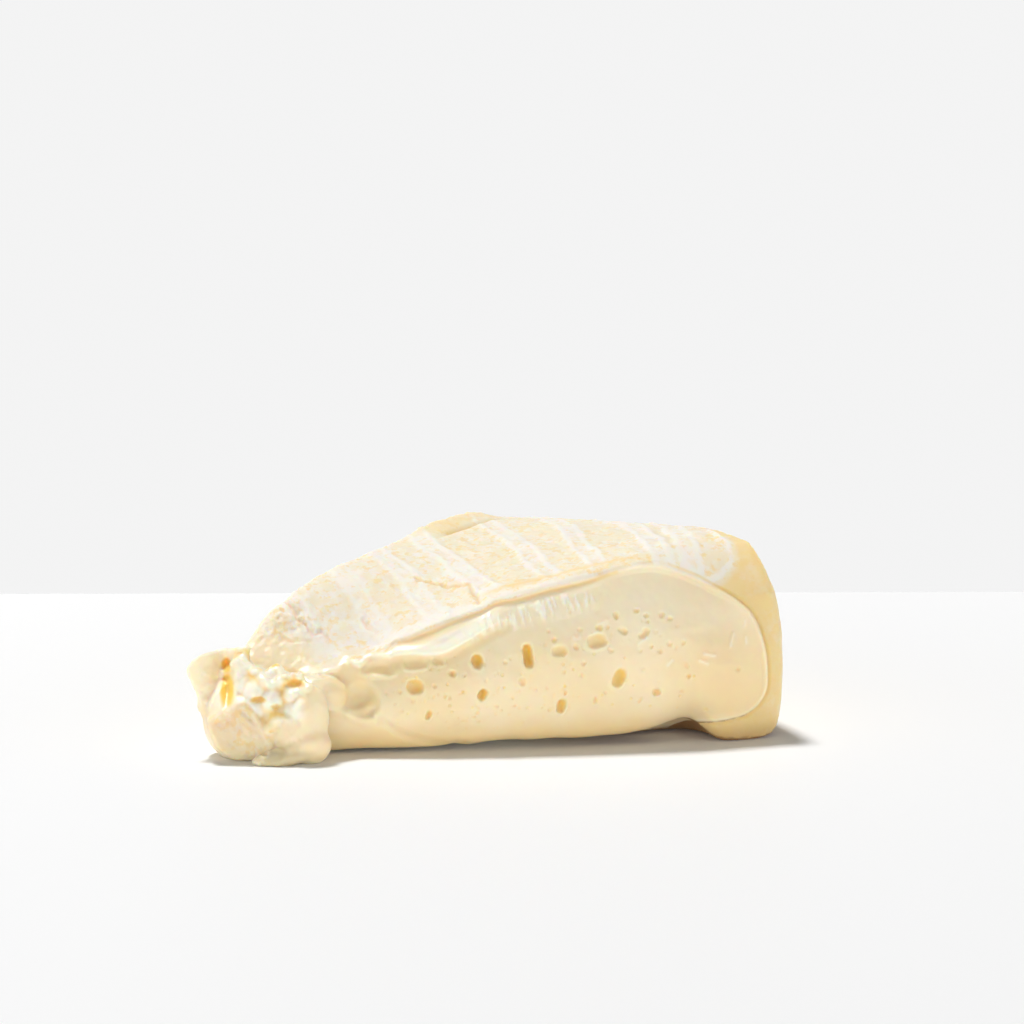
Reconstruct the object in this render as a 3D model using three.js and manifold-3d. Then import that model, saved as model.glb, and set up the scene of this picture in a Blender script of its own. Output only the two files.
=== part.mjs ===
// A wedge cut from a wheel of soft, bloomy-rind cheese, about an eighth of the wheel.
// The two cut faces have bulged, the top has sagged towards the point, and the point has
// collapsed into a torn flap, a folded end of rind, a few curds and a foot of runny paste.
// It is one solid: rind and paste grew as one piece. Millimetres, +Z up, resting on Z = 0.
//
// The shape is worked out with the wheel's centre as origin, +X along the middle of the wedge,
// and the finished group is then set with its origin at the bottom centre of its box.
import * as THREE from "three";
import { mergeVertices } from "three/addons/utils/BufferGeometryUtils.js";
import Module from "manifold-3d";

// Driving dimensions.
const WHEEL_RADIUS = 120;
const HALF_ANGLE = THREE.MathUtils.degToRad(22.5);
const BARREL_HEIGHT = 14; // where the outer side bulges most
const BARREL_CURVE = 0.009; // fall of the outer side's radius, per square millimetre of height
const BARREL_FADE = 6; // power by which that curve dies out towards the wheel's centre
const SHOULDER = 5; // rounding of the outer side into the top
const FOOT = 4.5; // rounding of the outer side into the base
const NOSE_RADIUS = 4; // where the wedge proper starts, off the wheel's centre
const FRONT_BULGE = 4.2; // how far the front cut face swells past its cut plane
const BACK_BULGE = 2.4;
const UNDERCUT = 3.2; // how far a cut face tucks in at the base
const UNDERCUT_SHARE = 0.22; // share of the height over which it does so
const SWELL_LOW = 0.72; // power that puts the fullest part of a bulge below the middle
const SWELL_START = 30; // distance from the centre where a bulge is full
const SWELL_FADE = [108, 12]; // where it fades towards the outer side, and over what length
const SWELL_LEFT = 0.25; // share of it that is left at the outer side
const DOME = 1.3; // rise of the top between its two cut edges
const EDGE_ROLL = 1.6; // drop of the top where it rolls over a cut edge
const ROLL_POWER = 8; // how close to the edge that roll stays
const SWELL_POWER = 3; // how fast a bulge dies out from the cut face inwards

// Height of the top along each cut edge, against distance from the wheel's centre.
const FRONT_EDGE = [
  [0, 16.5], [24, 17.5], [39, 20.6], [51, 26.4], [66, 31.8], [88, 36.2], [108, 38.2], [120, 38.4],
];
const BACK_EDGE = [
  [0, 14.5], [13, 20], [25, 27], [43, 32.2], [68, 36], [88, 38.2], [108, 36.6], [120, 35.2],
];

// Grid of the wedge: along its length, across it, and up it.
const ALONG = 34;
const ACROSS = 14;
const UPWARD = 9;
const CROWDING = 0.35; // how much the rows crowd together at the outer side

// The collapsed point is one mass, blended from ellipsoids around a middle: centre, radii, turn
// about Z and tilt about its own X, in degrees.
const POINT_MIDDLE = [9.5, -4.5, 7];
const LUMPS = {
  core: { at: [10.5, -3.6, 7.6], radii: [12.5, 8, 9.6], turn: -20, tilt: 0 },
  tornFlap: { at: [4, 2.8, 14.2], radii: [6, 3.2, 7.4], turn: -48, tilt: 14 },
  foldedRind: { at: [5.2, -4.4, 5.4], radii: [7, 7.2, 8], turn: -30, tilt: -10 },
  frontLobe: { at: [14.6, -9, 6], radii: [7, 6, 9.4], turn: -26, tilt: 6 },
  curds: { at: [9.8, -4.8, 12], radii: [6.6, 4.6, 6.2], turn: -25, tilt: 0 },
  runnyFoot: { at: [11.4, -12.4, 0.9], radii: [8, 5.4, 2.4], turn: -32, tilt: 0 },
};
const LUMP_BLEND = 1.1; // how softly neighbouring lumps run into each other
const POINT_DETAIL = 11;

// The largest eyes in the front cut face: distance along the face, height, and half sizes along,
// up and into it. The wider ones are shallow dimples.
const EYES = [
  { along: 64.8, up: 19.4, half: [1.05, 2.3, 4.6] },
  { along: 83.4, up: 14.4, half: [1.5, 1.9, 3] },
  { along: 54.6, up: 18.5, half: [1.25, 1.35, 2.2] },
  { along: 55.2, up: 11.9, half: [1.2, 1.2, 2] },
  { along: 71.6, up: 8.9, half: [1.05, 1.5, 2] },
  { along: 29.9, up: 12, half: [3.6, 3.7, 2.4] },
];
const EYE_DETAIL = 2;
const MERGE_WITHIN = 1e-4; // vertices this close are one

const clamp01 = (x) => Math.min(1, Math.max(0, x));
const smooth = (x) => clamp01(x) ** 2 * (3 - 2 * clamp01(x));

// Height on an edge's list of points, eased between neighbours by a Catmull-Rom slope.
function edgeHeight(points, r) {
  const last = points.length - 1;
  let i = 0;
  while (i < last - 1 && r > points[i + 1][0]) i++;
  const slope = (j) => {
    const before = points[Math.max(0, j - 1)];
    const after = points[Math.min(last, j + 1)];
    return (after[1] - before[1]) / (after[0] - before[0]);
  };
  const [x0, y0] = points[i];
  const [x1, y1] = points[i + 1];
  const span = x1 - x0;
  const t = clamp01((r - x0) / span);
  const rise = 2 * t ** 3 - 3 * t ** 2;
  return (
    (rise + 1) * y0 + (t ** 3 - 2 * t ** 2 + t) * span * slope(i) -
    rise * y1 + (t ** 3 - t ** 2) * span * slope(i + 1)
  );
}

// Height of the top at distance r from the wheel's centre, with side -1 at the front cut face
// and 1 at the back one.
function topHeight(r, side) {
  const share = smooth((side + 1) / 2);
  const edges = (1 - share) * edgeHeight(FRONT_EDGE, r) + share * edgeHeight(BACK_EDGE, r);
  const roll = EDGE_ROLL * Math.abs(side) ** ROLL_POWER;
  const past = clamp01((r - (WHEEL_RADIUS - SHOULDER)) / SHOULDER);
  const shoulder = SHOULDER * (1 - Math.sqrt(1 - past ** 2));
  return edges + DOME * (1 - side ** 2) - roll - shoulder;
}

// The rounded foot lifts the base off the table near the outer side.
function baseHeight(r) {
  const past = clamp01((r - (WHEEL_RADIUS - FOOT)) / FOOT);
  return FOOT * (1 - Math.sqrt(1 - past ** 2));
}

// How far a cut face stands out from its plane, up its height from 0 to 1: tucked in at the
// base, swollen below the middle, and back to the plane at the top.
function faceSwell(up, bulge) {
  const swell = Math.sin(Math.PI * up ** SWELL_LOW);
  return bulge * swell - UNDERCUT * (1 - smooth(up / UNDERCUT_SHARE));
}

// Bends a unit box into the wedge: x runs from the nose to the outer side, y across, z up.
function wedgeGeometry() {
  const box = new THREE.BoxGeometry(1, 1, 1, ALONG, ACROSS, UPWARD);
  const at = box.getAttribute("position");
  for (let i = 0; i < at.count; i++) {
    const along = at.getX(i) + 0.5;
    const side = 2 * at.getY(i);
    const up = at.getZ(i) + 0.5;
    // Rows crowd together at the outer side, where the shoulder and foot are rounded.
    const eased = Math.sin((Math.PI / 2) * along) * CROWDING + along * (1 - CROWDING);
    const r = NOSE_RADIUS + (WHEEL_RADIUS - NOSE_RADIUS) * eased;
    const base = baseHeight(r);
    const z = base + up * (topHeight(r, side) - base);
    const barrel = BARREL_CURVE * (z - BARREL_HEIGHT) ** 2 * (r / WHEEL_RADIUS) ** BARREL_FADE;
    const reach = r * (1 - barrel / WHEEL_RADIUS);
    const angle = side * HALF_ANGLE;
    const [fadeStart, fadeLength] = SWELL_FADE;
    const ends = smooth(r / SWELL_START) * (1 - smooth((r - fadeStart) / fadeLength) * (1 - SWELL_LEFT));
    const swell = faceSwell(up, side < 0 ? FRONT_BULGE : BACK_BULGE);
    const out = Math.abs(side) ** SWELL_POWER * swell * ends;
    const face = Math.sign(side) * (HALF_ANGLE + Math.PI / 2);
    at.setXYZ(
      i,
      reach * Math.cos(angle) + out * Math.cos(face),
      reach * Math.sin(angle) + out * Math.sin(face),
      z,
    );
  }
  return box;
}

const wasm = await Module();
wasm.setup();

// A closed three.js geometry as a manifold-3d solid.
function solidOf(geometry) {
  const bare = new THREE.BufferGeometry();
  bare.setAttribute("position", geometry.getAttribute("position"));
  if (geometry.index) bare.setIndex(geometry.index);
  const merged = mergeVertices(bare, MERGE_WITHIN);
  const mesh = new wasm.Mesh({
    numProp: 3,
    vertProperties: merged.getAttribute("position").array,
    triVerts: new Uint32Array(merged.index.array),
  });
  return new wasm.Manifold(mesh);
}

function geometryOf(solid) {
  const { vertProperties, triVerts } = solid.getMesh();
  const made = new THREE.BufferGeometry();
  made.setAttribute("position", new THREE.BufferAttribute(vertProperties, 3));
  made.setIndex(new THREE.BufferAttribute(triVerts, 1));
  made.computeVertexNormals();
  return made;
}

// How far a ray from the point's middle goes before it leaves a lump, or 0 if it misses it.
function reachThrough({ at, radii, turn, tilt }, direction) {
  const { degToRad } = THREE.MathUtils;
  const turned = new THREE.Matrix4().makeRotationZ(degToRad(turn));
  turned.multiply(new THREE.Matrix4().makeRotationX(degToRad(tilt)));
  const toLump = turned.multiply(new THREE.Matrix4().makeScale(...radii)).invert();
  const from = new THREE.Vector3(...POINT_MIDDLE).sub(new THREE.Vector3(...at));
  from.applyMatrix4(toLump);
  const along = direction.clone().applyMatrix4(toLump);
  const half = from.dot(along) / along.lengthSq();
  const root = half ** 2 - (from.lengthSq() - 1) / along.lengthSq();
  return root > 0 ? Math.max(0, Math.sqrt(root) - half) : 0;
}

// A sphere whose surface is drawn out to the farthest lump in each direction, softly.
function pointGeometry() {
  const mass = new THREE.IcosahedronGeometry(1, POINT_DETAIL);
  const at = mass.getAttribute("position");
  const direction = new THREE.Vector3();
  for (let i = 0; i < at.count; i++) {
    direction.fromBufferAttribute(at, i).normalize();
    const reaches = Object.values(LUMPS).map((lump) => reachThrough(lump, direction));
    const sum = reaches.reduce((total, reach) => total + Math.exp(reach / LUMP_BLEND), 0);
    direction.multiplyScalar(LUMP_BLEND * Math.log(sum));
    at.setXYZ(i, ...direction);
  }
  return mass.translate(...POINT_MIDDLE);
}

// An ellipsoid sunk into the front cut face, with its middle on the swollen surface.
function eyeGeometry({ along, up, half }) {
  const [alongHalf, upHalf, depth] = half;
  return new THREE.IcosahedronGeometry(1, EYE_DETAIL)
    .scale(alongHalf, depth, upHalf)
    .rotateZ(-HALF_ANGLE)
    .translate(
      along * Math.cos(HALF_ANGLE) - FRONT_BULGE * Math.sin(HALF_ANGLE),
      -along * Math.sin(HALF_ANGLE) - FRONT_BULGE * Math.cos(HALF_ANGLE),
      up,
    );
}

// What would hang below the table is cut away, so that the base is flat.
function belowTable() {
  const wide = 4 * WHEEL_RADIUS;
  const slab = new THREE.BoxGeometry(wide, wide, WHEEL_RADIUS);
  slab.translate(0, 0, -WHEEL_RADIUS / 2);
  return solidOf(slab);
}

function cheeseGeometry() {
  let solid = solidOf(wedgeGeometry()).add(solidOf(pointGeometry()));
  for (const eye of EYES) solid = solid.subtract(solidOf(eyeGeometry(eye)));
  return geometryOf(solid.subtract(belowTable()));
}

const cheese = new THREE.Mesh(
  cheeseGeometry(),
  new THREE.MeshStandardMaterial({ color: 0xf3e3bd, roughness: 0.45, metalness: 0 }),
);
cheese.name = "cheese_wedge";

const group = new THREE.Group();
group.add(cheese);

// The origin goes to the bottom centre of the box.
const bounds = new THREE.Box3().setFromObject(group);
const middle = bounds.getCenter(new THREE.Vector3());
cheese.position.set(-middle.x, -middle.y, -bounds.min.z);

export default group;
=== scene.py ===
"""A wedge cut from a wheel of soft, bloomy-rind cheese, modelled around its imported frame.

The wedge is worked out in millimetres from the centre of the wheel it was cut from: +X runs
along the middle of the wedge, the front cut face looks towards -Y, and Z is up. Its points are
written to the meshes in metres, at the wheel's place in the frame.
"""

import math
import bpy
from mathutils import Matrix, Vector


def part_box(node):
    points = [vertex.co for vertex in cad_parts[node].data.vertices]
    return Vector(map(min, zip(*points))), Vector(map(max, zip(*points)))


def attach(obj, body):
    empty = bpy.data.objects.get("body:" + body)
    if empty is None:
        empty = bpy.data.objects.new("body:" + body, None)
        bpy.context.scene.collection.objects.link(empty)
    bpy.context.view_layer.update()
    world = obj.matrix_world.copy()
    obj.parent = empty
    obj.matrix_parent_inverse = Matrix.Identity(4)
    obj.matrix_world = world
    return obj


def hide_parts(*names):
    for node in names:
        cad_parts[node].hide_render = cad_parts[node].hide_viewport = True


bl_info = {
    "name": "Soft Cheese Wedge",
    "version": (1, 0, 0),
    "blender": (4, 5, 0),
    "location": "3D View > Sidebar > Cheese",
    "description": "Models a wedge of soft, bloomy-rind cheese with a bulging cut face",
    "category": "Object",
}

import bpy
import numpy as np
from mathutils import noise

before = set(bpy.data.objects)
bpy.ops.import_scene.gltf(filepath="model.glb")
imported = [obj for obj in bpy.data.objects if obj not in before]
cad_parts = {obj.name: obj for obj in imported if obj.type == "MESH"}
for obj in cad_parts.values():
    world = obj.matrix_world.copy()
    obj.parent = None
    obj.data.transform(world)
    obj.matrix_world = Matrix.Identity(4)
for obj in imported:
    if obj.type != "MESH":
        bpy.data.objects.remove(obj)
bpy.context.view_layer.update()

# ---------------------------------------------------------------------------------------------
# The wheel, the cut and the frame
# ---------------------------------------------------------------------------------------------

NODE = "cheese_wedge"
BODY = "root"
PIECE = "wedge_of_cheese"
MM = 0.001

WHEEL_RADIUS = 120.0
HALF_ANGLE = math.radians(22.5)
NODE_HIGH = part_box(NODE)[1]
SIDEWAYS = 0.21  # the wheel's centre lies this far off the middle of the frame's box
WHEEL_CENTRE = np.array((NODE_HIGH.x - WHEEL_RADIUS * MM, SIDEWAYS * MM, 0.0))

# Each cut face has its own directions: along it, from the wheel's centre, and out of it.
FRONT_ALONG = np.array((math.cos(HALF_ANGLE), -math.sin(HALF_ANGLE), 0.0))
FRONT_OUT = np.array((-math.sin(HALF_ANGLE), -math.cos(HALF_ANGLE), 0.0))
BACK_ALONG = FRONT_ALONG * (1, -1, 1)
BACK_OUT = FRONT_OUT * (1, -1, 1)

# The torn point is laid out as its open side is looked at: across it, and away behind it.
POINT_TURN = math.radians(-33.0)
POINT_ACROSS = np.array((math.cos(POINT_TURN), math.sin(POINT_TURN), 0.0))
POINT_AWAY = np.array((-math.sin(POINT_TURN), math.cos(POINT_TURN), 0.0))
UP = np.array((0.0, 0.0, 1.0))

# ---------------------------------------------------------------------------------------------
# Lines that shape the wedge: (distance from the wheel's centre, value), in millimetres
# ---------------------------------------------------------------------------------------------

NOSE_RADIUS = 5.0  # the wedge starts this far from the wheel's centre
LEAST_THICK = 4.0
FRONT_TOP = (
    (0, 15.5), (24, 17.4), (31, 19.5), (35, 20.4), (38, 22.2), (41, 24.2), (45, 25.9), (52, 28.2),
    (60, 31.2), (72, 34.1), (84, 36.4), (95, 38.1), (109, 39.4), (120, 39.4),
)
FRONT_ROLL_DEPTH = (
    (0, 0.6), (40, 0.6), (84, 0.6), (90, 1), (95, 2.4), (101, 5.4), (105, 7.6), (109, 9.6),
    (113, 10), (120, 9),
)
FRONT_ROLL_WIDTH = ((0, 1.6), (80, 2), (90, 6), (97, 10), (104, 13), (112, 12), (120, 9))
BACK_TOP = (
    (0, 14.5), (13, 21.8), (19, 26.4), (25, 29.5), (32, 31.8), (43, 34.1), (57, 35.4), (68, 36.7),
    (80, 37.6), (92, 37.9), (108, 35.9), (120, 34.2),
)
BACK_ROLL = (1.8, 3.0)  # depth and width
DOME = 1.0  # how much higher the top is halfway between the cuts
ROLL_POWER = 1.7
SHOULDER = 2.4  # radius of the top's outer edge
FOOT = 4.5  # radius of the underside's outer edge
BARREL_HEIGHT = 14.0  # the outer side is widest here
BARREL_CURVE = 0.0075
BARREL_FADE = 6
ROW_CROWDING = 0.35  # how much closer the rows of points stand towards the outer side

# How far each cut face swells out of its plane, and how far its foot is tucked back in.
FRONT_BULGE = (
    (0, 0), (18, 2), (30, 4), (50, 5.6), (80, 6.2), (100, 5.4), (110, 3.6), (116, 1.4), (120, 0),
)
FRONT_TUCK = (
    (0, 0.5), (30, -0.5), (46, -2), (60, -2.2), (84, -2), (91, -1.6), (97, 0), (101, 0.2),
    (105, -2.4), (112, -2.6), (120, 0),
)
BACK_BULGE = ((0, 0), (30, 1.8), (80, 2.6), (105, 2), (116, 0.6), (120, 0))
BACK_TUCK = ((0, 0.5), (30, 1.6), (90, 2), (120, 1))
TUCK_SHARE = 0.2  # the part of the height that the tuck reaches up to
SWELL_LOW = 0.72  # below 1 the swelling is fullest below the middle
SWELL_INWARD = 3  # power at which the swelling fades inside the wedge
CORNER_START = 116.0
CORNER_DEPTH = 3.0

# How high the underside is lifted along the front cut, which leaves a dark gap under it.
FRONT_LIFT = (
    (0, 0), (20, 0.3), (30, 0.8), (44, 0.9), (48, 1.1), (50, 1.5), (53, 1.1), (56, 1.5), (62, 1.8),
    (66, 1.6), (70, 1.8), (76, 1.6), (80, 1.8), (86, 2.1), (91, 2.9), (95, 3.8), (98.5, 4.5),
    (101, 3.8), (103.5, 1.5), (106, 0.1), (120, 0),
)
LIFT_WIDTH = 12.0

# Outline of the paste on each cut face: (distance along it, height). Past it is rind.
FRONT_PASTE = (
    (-20, 13.6), (18, 14.6), (23, 16.9), (26.5, 17.6), (28.8, 19.4), (31, 18.7), (33.4, 20),
    (37, 20.4), (40, 22.2), (45, 24.2), (50.5, 26.2), (55.5, 27.9), (59, 29.6), (64, 30.7),
    (71, 32.3), (78, 33.9), (85, 35.6), (90, 36.2), (94.5, 35.7), (100.8, 33.3), (104, 31.5),
    (109, 28.7), (112.5, 25.4), (114.5, 20.6), (115.5, 15.4), (115.4, 10.4), (113.8, 7.4),
    (111, 5.4), (107, 4.5), (101, 3.6), (97, 1.2), (92, -4), (-20, -4),
)
BACK_PASTE = (
    (-20, 12), (4, 14.6), (13, 18.8), (20, 23.4), (32, 28), (43, 30.9), (68, 34.7), (88, 36.8),
    (98, 36.2), (106, 32.6), (111.5, 26.5), (114, 18), (113.4, 9.5), (109, 4.5), (101, 2.4),
    (90, 0.5), (80, -4), (-20, -4),
)

# Lines along the front cut, as points of (distance along it, height): the rind's cut edge, the
# groove under it, and the top and foot of the glossy lip that has run over from behind.
RIND_EDGE = (
    (36, 22.1), (39.2, 23.2), (44.7, 25.4), (49.1, 27), (52.5, 27.9), (57, 29.3), (58.8, 30.7),
    (62.7, 31.3), (67.6, 32.5), (72.8, 33.5), (80, 34.7),
)
GROOVE = (
    (34, 20.9), (37, 21.5), (40.2, 22.3), (45.3, 24), (50.4, 26.1), (55.5, 27.8), (58.6, 29.3),
    (64.2, 30.2), (71, 31.9), (77.9, 33.2), (84, 35.2),
)
LIP_TOP = (
    (32, 19.2), (38.1, 20.9), (43.7, 21.9), (47.7, 23.4), (52.5, 25.4), (57.3, 27.6), (60, 28.8),
)
LIP_FOOT = (
    (34, 18.6), (41, 19.9), (44.7, 19.7), (47.7, 20), (50.4, 21.1), (53.9, 23), (57.5, 25),
    (61, 26.6),
)
# The ridge that is left where the paste tore away from the point.
TORN_RIDGE = (
    (19.2, 14.9), (23.3, 16.9), (26.5, 17.6), (28.8, 19.4), (31, 18.2), (33.4, 19.9), (37.2, 19.7),
)

# Eyes in the front cut face: distance along, height, half width, half height, turn in degrees,
# depth. The wide shallow ones are dimples.
FRONT_EYES = (
    (64.8, 19.4, 1.05, 2.4, 4, 2.1), (83.4, 14.4, 1.3, 2.05, -28, 1.6), (54.6, 18.5, 1.25, 1.4, 8, 1.9),
    (55.4, 11.9, 1.0, 1.3, -34, 1.8), (71.6, 8.9, 1.0, 1.55, -8, 1.6), (44.5, 8.0, 0.65, 1.05, -24, 1),
    (41.9, 13.8, 1.8, 1.5, 0, 1.3), (79.0, 21.9, 2.1, 1.4, 8, 0.9), (71.2, 20.2, 1.7, 1.1, 6, 0.7),
    (91.3, 11.0, 1.0, 0.75, 0, 0.9), (97.9, 14.1, 0.65, 0.5, 0, 0.6), (49.4, 16.2, 0.95, 0.6, 0, 0.6),
    (63.4, 14.3, 0.95, 0.95, 0, 0.4), (78.6, 9.9, 0.5, 0.85, -10, 0.5), (96.5, 10.9, 0.55, 0.4, 0, 0.4),
    (72.2, 11.6, 0.55, 0.5, 0, 0.5),
    (87.5, 27.6, 0.65, 0.45, 0, 0.5), (89.4, 26.6, 0.65, 0.5, 0, 0.5), (89.6, 25.4, 0.45, 0.35, 0, 0.4),
    (83.2, 26.7, 0.7, 0.8, 0, 0.6), (79.6, 24.4, 0.75, 0.6, 0, 0.6), (81.3, 24.5, 0.5, 0.45, 0, 0.4),
    (84.6, 23.6, 0.9, 0.7, -20, 0.5), (88.3, 22.7, 0.9, 0.7, 0, 0.5), (94.3, 25.8, 0.65, 0.4, 0, 0.4),
    (75.7, 24.1, 0.6, 0.4, 0, 0.35), (81.7, 19.8, 0.5, 0.4, 0, 0.4), (76, 17.6, 0.6, 0.45, 0, 0.4),
    (108.6, 14.8, 0.6, 0.45, 0, 0.4), (60.1, 18.2, 0.45, 0.4, 0, 0.4), (61.2, 18.9, 0.35, 0.3, 0, 0.3),
    (58.6, 13.2, 0.45, 0.35, 0, 0.3), (66.2, 12.6, 0.4, 0.4, 0, 0.3), (62, 9.4, 0.4, 0.35, 0, 0.3),
    (51, 12.3, 0.4, 0.35, 0, 0.3), (87.8, 9.4, 0.45, 0.6, -20, 0.3), (54.4, 8.1, 0.5, 0.4, 0, 0.4),
)
DIMPLES = (
    (31.4, 11.4, 3.6, 3.8, -12, 1.5), (28.6, 13.4, 5.2, 4.2, 0, 0.8), (34.7, 17.1, 3.0, 1.3, -2, 0.45),
    (42.3, 18.4, 2.3, 1.2, 6, 0.5), (46.8, 18.6, 1.3, 0.8, 0, 0.6),
)
CREASES = (
    ((33, 8.6), (36.5, 6.2), (39, 4.4), (43, 2.9), (48, 1.6)),
    ((50, 1.7), (52.5, 1.3), (55, 0)),
)
# Short raised flecks that catch the light, also painted paler as highlight.
FLECKS = (
    ((107.2, 19.6), (108, 22)), ((110.8, 20), (110.7, 21.2)), ((110.6, 23.4), (110.6, 24.4)),
    ((100.3, 17.2), (102, 16.4)), ((101.4, 18.5), (103.6, 18)), ((87.6, 21.2), (89.4, 22.4)),
    ((80, 25.4), (81.2, 26)), ((93.5, 16.6), (94.4, 17.6)), ((74, 22.8), (75.6, 23)),
)
# Pits too small to place one by one: how many, between which distances and heights, and sizes.
PIT_FIELDS = (
    (80, (36, 76), (6.5, 18.5), (0.22, 0.5)), (26, (68, 97), (19.5, 28), (0.3, 0.8)),
    (14, (80, 112), (6, 17), (0.25, 0.55)), (12, (41, 64), (4.5, 8), (0.25, 0.4)),
)
BACK_EYE_COUNT = 22
BACK_EYE_SPAN = (34, 104)  # distances along the back cut face
BACK_EYE_LOW = 6
BACK_EYE_BELOW_TOP = 8

# White bands that the draining mat left on the top: where each crosses the middle of the wedge,
# and its direction in degrees.
BANDS = (
    (24.5, -86), (37, -100), (48.4, -99), (59.5, -101.5), (75, -108), (88.2, -114), (103, -113),
    (112, -117),
)
BAND_HALF = 1.7  # each band is two lines, this far from its middle
BAND_LINE = 1.3  # half width of a line
BAND_FILL = 0.45  # how strong the band is between its lines
# Cracks, the yellow corner above the front cut and the white ridge along it, on the top as it
# is seen from above.
CROSS_CRACK = ((50.2, 0), (52.1, -4.7), (56, -11), (52.4, -20))
CRACKS = (
    ((23.1, 7.4), (23.6, 2.5), (24.7, -1.3), (27, -2.7), (25.2, -6.3), (24.6, -10)),
    ((12.8, -1.3), (14.5, 0.2), (18.4, -0.4), (23, -2.2)),
    ((35.4, -3), (35.8, -7), (34.8, -10)),
)
YELLOW_CORNER = (
    (109.5, -20), (107, -28), (105.4, -34.2), (104, -37.6), (98.6, -38.9), (93, -39.8), (86, -60),
    (140, -60), (140, -20),
)
WHITE_RIDGE = (
    (107, -24), (104.4, -31.5), (104.5, -34.1), (103.2, -37), (98.6, -37.8), (93.4, -38.6),
    (90.5, -36.5),
)

# ---------------------------------------------------------------------------------------------
# Heights and depths of the relief, in millimetres
# ---------------------------------------------------------------------------------------------

SQUAREST_EYE = 3.2  # power of the squarest outline of an eye; 2 is an ellipse
RIM_REACH = (1.12, 0.35)  # where an eye's rim stands and its half width, as shares of the eye
EYE_RIM = 0.2
DIMPLE_RIM = 0.35
PIT_DEPTH = 0.55  # as a share of the pit's size
GROOVE_DEPTH = 0.32
WIDE_GROOVE_DEPTH = 0.24
EDGE_HEIGHT = 0.45
LIP_HEIGHT = 0.35
STREAK_HEIGHT = 0.6
CREASE_DEPTH = 0.5
FLECK_HEIGHT = 0.15
TORN_HEIGHT = 0.7
CRACK_DEPTH = 0.5
CURL_HEIGHT = 1.2
CURL_CREASE = 0.9
CREASE_IN = 9.5  # the crease under the curl lies this far in from the back cut
RIDGE_HEIGHT = 0.7
CURD_HEIGHT = 1.5
CURD_SIZE = 3.4

# ---------------------------------------------------------------------------------------------
# The torn point: (across, away, up), with the wheel's centre as 0, 0, 0
# ---------------------------------------------------------------------------------------------

# Each lump: middle, half sizes, lean across and lean away in degrees, roughness.
LUMPS = {
    "core": ((11.0, 3.0, 7.4), (11.5, 8.5, 10.0), 0, 0, 0.5),
    "core_back": ((16.0, 9.0, 7.0), (11.0, 8.0, 9.6), 0, 0, 0.5),
    "shelf": ((15.5, 0.5, 10.2), (7.0, 5.0, 5.6), 0, -8, 0.7),
    "lobe": ((19.6, -2.6, 7.2), (5.0, 4.6, 8.6), 12, 6, 0.3),
    "lobe_foot": ((20.9, -4.0, 3.4), (4.5, 4.2, 4.0), 0, 0, 0.25),
    "shoulder": ((23.2, 2.6, 12.6), (5.4, 3.4, 3.8), 12, 0, 0.3),
    "run": ((16.2, -6.0, 1.3), (5.8, 3.2, 2.0), -14, 0, 0.15),
    "run_tip": ((12.8, -6.8, 0.7), (3.2, 2.2, 1.2), -6, 0, 0.15),
    "brow": ((17.6, 1.0, 15.2), (4.2, 2.6, 1.5), 10, 0, 0.5),
    "rim": ((22.6, 1.6, 14.2), (3.2, 2.4, 1.5), -10, 0, 0.4),
    "bridge": ((8.8, 1.8, 13.4), (4.0, 4.2, 5.2), 0, 0, 0.8),
}
# Single curds: (across, away, up) and radius.
CURDS = (
    (9.2, -1.6, 13.9, 1.9), (11.7, -2.0, 15.4, 1.8), (10.8, -0.6, 17.2, 1.3), (13.9, -2.4, 14.2, 1.9),
    (12.9, -3.6, 11.6, 1.9), (15.9, -2.6, 15.9, 1.5), (16.6, -3.6, 12.9, 1.9), (14.9, -4.6, 9.4, 2.1),
    (11.6, -4.2, 9.8, 1.5), (13.0, -5.0, 7.0, 1.6), (7.4, 0.6, 16.6, 1.6), (18.4, -1.6, 16.6, 1.3),
    (6.6, 1.6, 18.8, 1.5), (14.4, 0.4, 17.6, 1.3), (20.6, -2.8, 14.6, 1.5), (19.2, -4.6, 12.0, 1.3),
)
# The folded end of the rind, seen from the open side: (across, up).
FOLD = (
    (0.0, 8.4), (3.4, 10.4), (8.2, 12.4), (11.0, 9.6), (14.2, 3.4), (11.4, 0.2), (5.4, 0.0),
    (2.0, 2.9),
)
FOLD_NEAR, FOLD_FAR = -4.6, 4.5
FOLD_EDGE = 1.5  # width of its bevelled edges
# The thin torn flap that stands behind it: its left edge up its height from 0 to 1, then its
# top edge and how far away it is, across its width from 0 to 1.
FLAP_LEFT = ((0, -0.3), (0.13, -1.7), (0.3, -1.3), (0.5, -1.7), (0.75, -2.9), (1, -3.7))
FLAP_TOP = ((0, 17.8), (0.12, 19.6), (0.3, 20.6), (0.55, 21.0), (1, 22.2))
FLAP_AWAY = ((0, 1.6), (0.25, 3.2), (0.55, 6.6), (0.8, 4.2), (1, 3.2))
FLAP_BASE, FLAP_RIGHT = 8.6, 9.2
FLAP_THICK = 1.7
FLAP_CUTS = 24
# Clefts between the torn bits, painted deep yellow as shade in them: (across, up), half width, half
# height, depth.
CLEFTS = (
    (4.6, 13.8, 1.3, 2.8, 3.0), (4.2, 18.0, 0.9, 1.3, 1.4), (18.2, 15.6, 1.8, 0.7, 1.2),
    (10.9, 12.6, 1.5, 0.6, 1.2), (14.4, 11.4, 1.0, 0.5, 0.9), (13.6, 6.6, 0.6, 0.3, 0.5),
)

GRID_ROUNDS = (8, 8)  # cuts in each round of subdividing the starting cube
SMOOTHING = 0.5  # how much each round evens out the remeshed skin
SMOOTHING_ROUNDS = 2


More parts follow.
